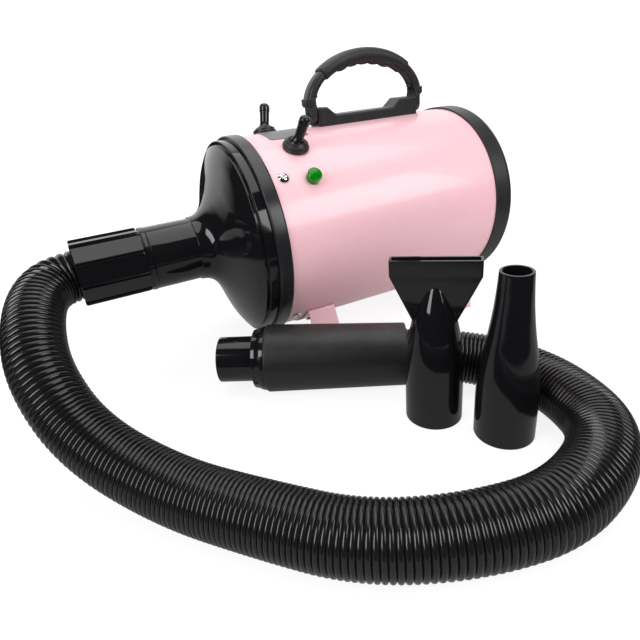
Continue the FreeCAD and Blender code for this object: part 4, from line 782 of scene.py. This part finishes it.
def rounded_slab(x0, x1, half_y, high, edge=0.7):
    """A slab across X whose lower end is a half round about the pivot. Heights are from the pivot."""
    outline = [(half_y * sin(a), -half_y * cos(a))
               for a in (radians(d) for d in range(-90, 91, 10))]
    outline += [(half_y, high - 1.6), (half_y - 0.5, high - 0.5), (half_y - 1.6, high)]
    outline += [(-half_y + 1.6, high), (-half_y + 0.5, high - 0.5), (-half_y, high - 1.6)]
    rings = []
    for x, shrink in ((x0, edge), (x0 + 0.3 * edge, 0.3 * edge), (x0 + edge, 0), (x1 - edge, 0),
                      (x1 - 0.3 * edge, 0.3 * edge), (x1, edge)):
        scale_y, scale_z = 1 - shrink / half_y, 1 - shrink / high
        rings.append([by_handle(x, y * scale_y, z * scale_z) for y, z in outline])
    return skin(rings)


parts = [skin(bail_rings)]
for side in (-1, 1):
    near, far = sorted((side * cheek_start, side * (cheek_start + CHEEK_THICK)))
    parts.append(rounded_slab(near, far, half_wide, CHEEK_TOP))
    block_middle, lug_middle = side * (half_span + 0.2), side * (half_span - half_thick - 0.9)
    rings = []
    for height, grow in BLOCK_SIDES:
        section = squarish(SECTION_POINTS, half_thick + grow, half_wide + grow + 0.3,
                           half_wide + grow + 0.3, 4.2)
        rings.append([by_handle(block_middle + u, v, height) for u, v in section])
    parts.append(skin(rings))
    parts.append(box_mesh(-LUG, LUG, Matrix.Translation(by_handle(lug_middle, 0, LUG_HEIGHT))))
make_piece("handle_bail_bar", *join_meshes(parts), satin_black, body="handle", node="handle_bail",
           slot="satin_black")

# %% Base bar with raised ears
BASE_TOP, EAR_TOP, HALF_BAR = 97.5, 104.8, 10.0
BAR_ROUND, BAR_SEAT_R = 1.6, SHELL_R + 0.05
handle_end = HANDLE_START + HANDLE_LENGTH
bar_top = soften([(HANDLE_START, 60, 0), (HANDLE_START, EAR_TOP, 1.8), (HANDLE_START + 9, EAR_TOP, 2.0),
                  (HANDLE_START + 18, BASE_TOP, 3.0), (handle_end - 28, BASE_TOP, 3.0),
                  (handle_end - 19, EAR_TOP, 2.0), (handle_end, EAR_TOP, 1.8), (handle_end, 60, 0)], 4)[1:-1]
rings = []
for x, top in bar_top:
    half = HALF_BAR - max(0.0, 1.8 - min(x - HANDLE_START, handle_end - x)) * 0.5
    section = [(-half, sqrt(BAR_SEAT_R ** 2 - half ** 2))]
    section += [(-half + BAR_ROUND * (1 - sin(a)), top - BAR_ROUND * (1 - cos(a)))
                for a in (radians(15.0 * k) for k in range(6, -1, -1))]
    section += [(-y, z) for y, z in section[::-1]]
    section += [(y, sqrt(BAR_SEAT_R ** 2 - y ** 2))
                for y in (half - 2 * half * k / 6 for k in range(1, 6))]
    rings.append([DRUM + Vector((x, y, z)) * MM for y, z in section])
make_piece("handle_base_bar", *skin(rings), satin_black, node="handle_base", slot="satin_black")

# %% [markdown]
# ## The hose's cuff
# The cuff is a grip: nine flat panels with a pair of fine ridges between each two, and a plain collar
# where it meets the spout. One panel's outline is written once and repeated round the axis, and the
# section changes along the cuff by rings, as on the handle.

# %% Cuff
PANELS, FLAT_R, RIDGE_R = 9, 26.0, 28.6
RIDGE_PAIR = (17.7, 22.3)                # the ridges' middles, in degrees from the middle of a panel
RIDGE = ((-1.25, 0.0), (-0.85, 0.85), (-0.4, 1.0), (0.4, 1.0), (0.85, 0.85), (1.25, 0.0))

panel = [(degrees, FLAT_R / cos(radians(degrees))) for degrees in (-15.4, -11, -6, 0, 6, 11, 15.4)]
for middle in RIDGE_PAIR:
    for offset, height in RIDGE:
        low = FLAT_R / cos(radians(min(15.6, 40 - middle + abs(offset))))
        panel.append((middle + offset, low + (RIDGE_R - low) * height))
cuff_section = [(angle + 360.0 / PANELS * i, radius) for i in range(PANELS) for angle, radius in panel]


def cuff_ring(x, panels, radius, trim):
    """panels is how much of the panelled section shows; the rest is a circle of that radius."""
    return [on_drum(x, panels * r + (1 - panels) * radius - trim, angle) for angle, r in cuff_section]


cuff_stations = [(-138.0, 0, 21.15, 0), (-157.4, 0, 21.15, 0), (-158.0, 0, 21.6, 0), (-158.0, 1, 0, 1.6),
                 (-157.7, 1, 0, 0.5), (-157.2, 1, 0, 0.1), (-156.6, 1, 0, 0), (-105.0, 1, 0, 0),
                 (-104.0, 1, 0, 0.2), (-103.4, 0.85, 26.2, 0.3), (-103.0, 0, 26.1, 0), (-102.3, 0, 26.1, 0),
                 (-102.1, 0, 27.3, 0), (-101.7, 0, 27.75, 0), (-98.6, 0, 27.75, 0), (-98.15, 0, 27.5, 0),
                 (-98.0, 0, 26.8, 0), (-98.0, 0, 24.6, 0), (-136.0, 0, 24.6, 0), (-136.6, 0, 18.5, 0),
                 (-138.0, 0, 18.5, 0)]
cuff_verts = [point for station in cuff_stations for point in cuff_ring(*station)]
cuff = make_piece("cuff_grip", cuff_verts, rings_to_faces(len(cuff_stations), len(cuff_section)),
                  gloss_black, node="hose_cuff", slot="gloss_black", sharp=28)

# %% [markdown]
# ## The corrugated hose
# Each rib is a real ring of the mesh, not a bump, because the ribs make the hose's outline. The rings
# follow points read from the NURBS line, evenly spaced, and a frame carried along the line without
# twisting keeps them square to it. On a bend the ribs open on the outside and close on the inside.

# %% Steps along a line, with a frame that doesn't twist
def points_at(line, stations):
    """The points at these lengths along the line."""
    reach = [0.0]
    for a, b in zip(line, line[1:]):
        reach.append(reach[-1] + (b - a).length)
    points, i = [], 0
    for want in stations:
        while i < len(line) - 2 and reach[i + 1] < want:
            i += 1
        share = (want - reach[i]) / (reach[i + 1] - reach[i])
        points.append(line[i].lerp(line[i + 1], share))
    return points


def carried_frames(points):
    """(point, side, up) at each point, carried along with no twist."""
    frames = []
    up = Vector((0, 0, 1))
    for i, point in enumerate(points):
        ahead = (points[min(i + 1, len(points) - 1)] - points[max(i - 1, 0)]).normalized()
        up = (up - ahead * up.dot(ahead)).normalized()
        frames.append((point, ahead.cross(up), up))
    return frames


# %% Hose
PITCH_ALONG = ((0, 6.0), (50, 5.8), (90, 4.7), (150, 4.4), (250, 3.5), (330, 3.2), (380, 3.3), (430, 4.0),
               (500, 4.0), (570, 3.4), (800, 3.4))       # (mm along, rib pitch in mm)
TIGHT_PITCH, PITCH_RANGE = 3.2, 2.8      # closed ribs, and how much wider the widest are
CLOSED_DEPTH, OPENED_DEPTH = 1.3, 1.2    # a closed rib's depth, and what an open one adds
RIB_STEPS, HOSE_AROUND, HOSE_BORE_R = 8, 44, HOSE_R - 2.5 * MM - 1.2 * MM


def along_table(table, where):
    """The value at a place, straight between the table's rows."""
    for (x0, y0), (x1, y1) in zip(table, table[1:]):
        if where <= x1:
            return y0 + (y1 - y0) * (where - x0) / (x1 - x0)
    return table[-1][1]


def hoop(frame, radius):
    point, side, up = frame
    return [point + side * (radius * cos(a)) + up * (radius * sin(a))
            for a in (2 * pi * k / HOSE_AROUND for k in range(HOSE_AROUND))]


stations = [0.0]
while stations[-1] < hose_length:
    stations.append(stations[-1] + along_table(PITCH_ALONG, stations[-1] / MM) * MM / RIB_STEPS)
ribs = len(stations) // RIB_STEPS
stations = [s * hose_length / stations[ribs * RIB_STEPS] for s in stations[:ribs * RIB_STEPS + 1]]
hose_frames = carried_frames(points_at(hose_line, stations))
verts = []
for i, frame_here in enumerate(hose_frames):
    opened = (along_table(PITCH_ALONG, stations[i] / MM) - TIGHT_PITCH) / PITCH_RANGE
    depth = (CLOSED_DEPTH + OPENED_DEPTH * opened) * MM
    crest = abs(sin(pi * (i % RIB_STEPS) / RIB_STEPS)) ** (0.45 + 0.4 * opened)
    verts += hoop(frame_here, HOSE_R - depth * (1 - crest))
inside = hose_frames[::-RIB_STEPS]
for frame_here in inside:
    verts += hoop(frame_here, HOSE_BORE_R)
hose = make_piece("corrugated_hose", verts, rings_to_faces(len(hose_frames) + len(inside), HOSE_AROUND),
                  hose_black, node="hose", slot="hose_black", sharp=60)
print(ribs, "ribs,", len(verts), "points")

# %% [markdown]
# ## The hand wand
# The wand is a tube with a spigot at its front, where a nozzle slips on, a gloss collar with small lock
# tabs, and a matt tapered sleeve. Its place and direction come from the record's mount on the spigot.

# %% Wand
spigot = mounts["wand_spigot"]
wand_way = -Vector(spigot["axis"])
wand_place = frame_along(Vector(spigot["pos_m"]) - wand_way * (15.0 * MM), wand_way, (0, 0, 1))

tube_outline = soften([(0, 16.9, 0.3), (0, 19.1, 0.7), (29.9, 19.1, 0.2), (29.9, 23.0, 0.3), (155, 23.0, 0.4),
                       (155, 21.15, 0.3), (141, 21.15, 0), (141, 16.9, 0)])
wand_tube = make_piece("wand_inner_tube", *spin(tube_outline, wand_place), gloss_black, node="wand_tube",
                       slot="gloss_black")
collar_outline = soften([(29.92, 23.02, 0), (29.92, 24.6, 0.6), (33.0, 25.2, 0.5), (37.2, 26.9, 0.8),
                         (40.38, 27.3, 0.3), (40.38, 23.02, 0)])
wand_collar = make_piece("wand_lock_collar", *spin(collar_outline, wand_place), gloss_black,
                         node="wand_collar", slot="gloss_black")
NOTCH_LOW, NOTCH_HIGH = (29.0 * MM, -2.2 * MM, 24.4 * MM), (34.6 * MM, 2.2 * MM, 29.0 * MM)
tab_bars = []
for i in range(8):
    turned = wand_place @ Matrix.Rotation(radians(45.0 * i + 20.0), 4, "X")
    tab_bars.append(box_mesh(NOTCH_LOW, NOTCH_HIGH, turned))
cut_with(wand_collar, *join_meshes(tab_bars))
sleeve_outline = soften([(40.4, 23.02, 0.2), (40.4, 28.5, 1.6), (156, 25.9, 2.2), (156, 23.02, 0.4)], 6)
wand_sleeve = make_piece("wand_sleeve_cover", *spin(sleeve_outline, wand_place), sleeve_black,
                         node="wand_sleeve", slot="matte_black")

# %% [markdown]
# ## The two nozzles
# The round nozzle is turned. The flat one is a bullet shape joined to a flared fan by a Boolean, which
# gives the crisp crease where the two surfaces meet, and then hollowed the same way.

# %% Round nozzle
NOZZLE_R, BORE_R, GRIP_HEIGHT = 20.8, 19.18, 30.0
ROUND_HEIGHT, ROUND_MOUTH_R, ROUND_WALL = 122.0, 10.6, 1.9
ROUND_SHAPE = ((0, 1), (0.18, 0.93), (0.38, 0.66), (0.56, 0.38), (0.74, 0.17), (0.9, 0.05), (1, 0))


def upright(mount, heading=0.0):
    """Local X points up from the floor under a standing nozzle."""
    x, y, _ = mounts[mount]["pos_m"]
    return (Matrix.Translation((x, y, 0)) @ Matrix.Rotation(radians(heading), 4, "Z")
            @ Matrix.Rotation(radians(-90.0), 4, "Y"))


outside = flowing([(GRIP_HEIGHT + (ROUND_HEIGHT - GRIP_HEIGHT) * up, ROUND_MOUTH_R
                    + (NOZZLE_R - ROUND_MOUTH_R) * wide) for up, wide in ROUND_SHAPE], 8)
inside_line = [(z, r - ROUND_WALL) for z, r in outside[-2:0:-1]]
rim = [(ROUND_HEIGHT - 0.3, ROUND_MOUTH_R), (ROUND_HEIGHT, ROUND_MOUTH_R - 0.3),
       (ROUND_HEIGHT, ROUND_MOUTH_R - ROUND_WALL + 0.3), (ROUND_HEIGHT - 0.3, ROUND_MOUTH_R - ROUND_WALL)]
base = [(GRIP_HEIGHT, BORE_R), (0.3, BORE_R), (0, BORE_R + 0.3), (0, NOZZLE_R - 0.7), (0.2, NOZZLE_R - 0.25),
        (0.7, NOZZLE_R)]
round_outline = base + outside[:-1] + rim + inside_line
make_piece("round_nozzle_shell", *spin(round_outline, upright("round_nozzle_bore")), gloss_black,
           body="round_nozzle_body", node="round_nozzle", slot="gloss_black")

# %% Flat nozzle
FLAT_HEIGHT, BULLET_HEIGHT, MOUTH_HALF, MOUTH_DEPTH = 124.5, 110.0, 30.5, 10.0
FAN_START, FAN_STRAIGHT, FAN_ROOT_HALF, FAN_ROOT_DEPTH = 64.0, 11.5, 7.0, 13.0
FLAT_HEADING, FLAT_WALL = -41.3, 1.6
BULLET = ((0.0, 1.0), (0.25, 0.965), (0.5, 0.85), (0.72, 0.65), (0.88, 0.4), (0.97, 0.18), (1.0, 0.0))
flat_place = upright("flat_nozzle_bore", FLAT_HEADING)


def bullet(radius, height, start):
    side = flowing([(GRIP_HEIGHT + (height - GRIP_HEIGHT) * up, radius * wide) for up, wide in BULLET], 7)
    return spin([(start, 0.0), (start, radius - 0.6), (start + 0.6, radius)] + side[:-1] + [(height, 0.0)],
                flat_place)


def rounded_rectangle(half_x, half_y, edge, steps):
    """A rectangle's outline with round corners, each an arc of so many steps."""
    points = []
    for cx, cy, first in ((half_x - edge, half_y - edge, 0), (edge - half_x, half_y - edge, 90),
                          (edge - half_x, edge - half_y, 180), (half_x - edge, edge - half_y, 270)):
        for k in range(steps + 1):
            a = radians(first + 90.0 / steps * k)
            points.append((cx + edge * cos(a), cy + edge * sin(a)))
    return points


def fan(shrink, start, top):
    """A tapering block with rounded edges, shrunk by the wall for the inside."""
    waist = FLAT_HEIGHT - FAN_STRAIGHT
    rings = []
    heights = [start + (waist - start) * k / 24 for k in range(25)]
    heights += [waist + 0.4, waist + 1.0] + [waist + (top - waist) * k / 5 for k in range(1, 6)]
    for z in heights:
        share = min(1.0, (z - FAN_START) / (waist - FAN_START))
        half = FAN_ROOT_HALF + (MOUTH_HALF - FAN_ROOT_HALF) * share - shrink
        depth = (FAN_ROOT_DEPTH + (MOUTH_DEPTH - FAN_ROOT_DEPTH) * share) / 2 - shrink
        outline = rounded_rectangle(half, depth, max(0.5, 1.5 - shrink), 4)
        rings.append([flat_place @ (Vector((z, across, wide)) * MM) for wide, across in outline])
    return skin(rings)


flat = make_piece("flat_nozzle_shell", *bullet(NOZZLE_R, BULLET_HEIGHT, 0.0), gloss_black,
                  body="flat_nozzle_body", node="flat_nozzle", slot="gloss_black")
cut_with(flat, *fan(0.0, FAN_START, FLAT_HEIGHT), operation="UNION")
cut_with(flat, *bullet(NOZZLE_R - FLAT_WALL - 1.6, BULLET_HEIGHT - 10.0, -2.0))
cut_with(flat, *fan(FLAT_WALL, FAN_START + 3.0, FLAT_HEIGHT + 1.0))
cut_with(flat, *spin([(-2, 0), (-2, BORE_R), (GRIP_HEIGHT, BORE_R), (GRIP_HEIGHT, 0)], flat_place))

# %% [markdown]
# ## The two feet
# Each foot is one bent strip of the painted sheet, with a saddle under the drum. Its line is written
# once in the Y-Z plane, and a thin section with rounded edges is swept along it.

# %% Feet and pads
FOOT_CENTRES, FOOT_WIDTH, SHEET = (33.0, 188.0), 27.0, 1.6
SADDLE_R, SADDLE_HALF = 89.02 + SHEET / 2, 46.5
TOE_Y, BEND_Y, TOE_Z = 65.4, 81.4, 3.0 + SHEET / 2
axis_height = DRUM.z / MM

half_line = [(TOE_Y, TOE_Z, 0), (BEND_Y, TOE_Z, 2.6)]
arc = [(SADDLE_R * sin(radians(d)), axis_height - SADDLE_R * cos(radians(d)))
       for d in (SADDLE_HALF - 2.0 * SADDLE_HALF * k / 60 for k in range(61))]
corners = half_line + [(*arc[0], 1.6)] + [(y, z, 0) for y, z in arc[1:-1]] + [(*arc[-1], 1.6)]
corners += [(-y, z, r) for y, z, r in half_line[::-1]]
foot_line = soften(corners, 5)


def foot_strip(centre):
    section = rounded_rectangle(FOOT_WIDTH / 2, SHEET / 2, 0.45, 3)
    rings = []
    for i, here in enumerate(foot_line):
        back, ahead = foot_line[max(i - 1, 0)], foot_line[min(i + 1, len(foot_line) - 1)]
        way = Vector((ahead[0] - back[0], ahead[1] - back[1])).normalized()
        rings.append([Vector((DRUM.x + (centre + u) * MM, DRUM.y + (here[0] - v * way.y) * MM,
                              (here[1] + v * way.x) * MM)) for u, v in section])
    return skin(rings)


for name, centre in zip(("front_foot", "rear_foot"), FOOT_CENTRES):
    make_piece(name + "_strip", *foot_strip(centre), pink_paint, node=name, slot="body_paint")
pad_outline = soften([(0, 0, 0), (0, 6, 0.8), (2.98, 6, 0.3), (2.98, 0, 0)])
pads = []
for centre in FOOT_CENTRES:
    for y in (-1, 1):
        foot = Vector((DRUM.x + centre * MM, DRUM.y + y * (TOE_Y + BEND_Y) / 2 * MM, 0))
        pads.append(spin(pad_outline, frame_along(foot, (0, 0, 1)), 40))
make_piece("rubber_pads", *join_meshes(pads), pad_rubber, node="foot_pads", slot="soft_rubber")

# %% [markdown]
# ## Finishes for the pieces kept from the frame
# What is left is turned or folded metal and plain mouldings, and their frame meshes are already right.
# They keep those meshes and get the finishes made above.

# %% Dress the remaining pieces
BY_SLOT = {"body_paint": pink_paint, "gloss_black": gloss_black, "satin_black": satin_black,
           "matte_black": sleeve_black, "hose_black": hose_black, "soft_rubber": boot_rubber,
           "bright_metal": bright_steel, "plate_grey": plate_grey, "lens_green": lens_green,
           "moulded_plastic": dark_moulding, "filter_foam": foam_grey, "steel": turned_steel,
           "alloy": cast_alloy}
BY_NODE = {"rear_cap": satin_black, "rear_ring": ring_black}
for name, part in frame["nodes"].items():
    if part.hide_render:
        continue
    for place in part.material_slots:
        slot = place.material.name.split(".")[0] if place.material else ""
        finish = BY_NODE.get(name) or BY_SLOT.get(slot)
        if finish:
            place.material = finish
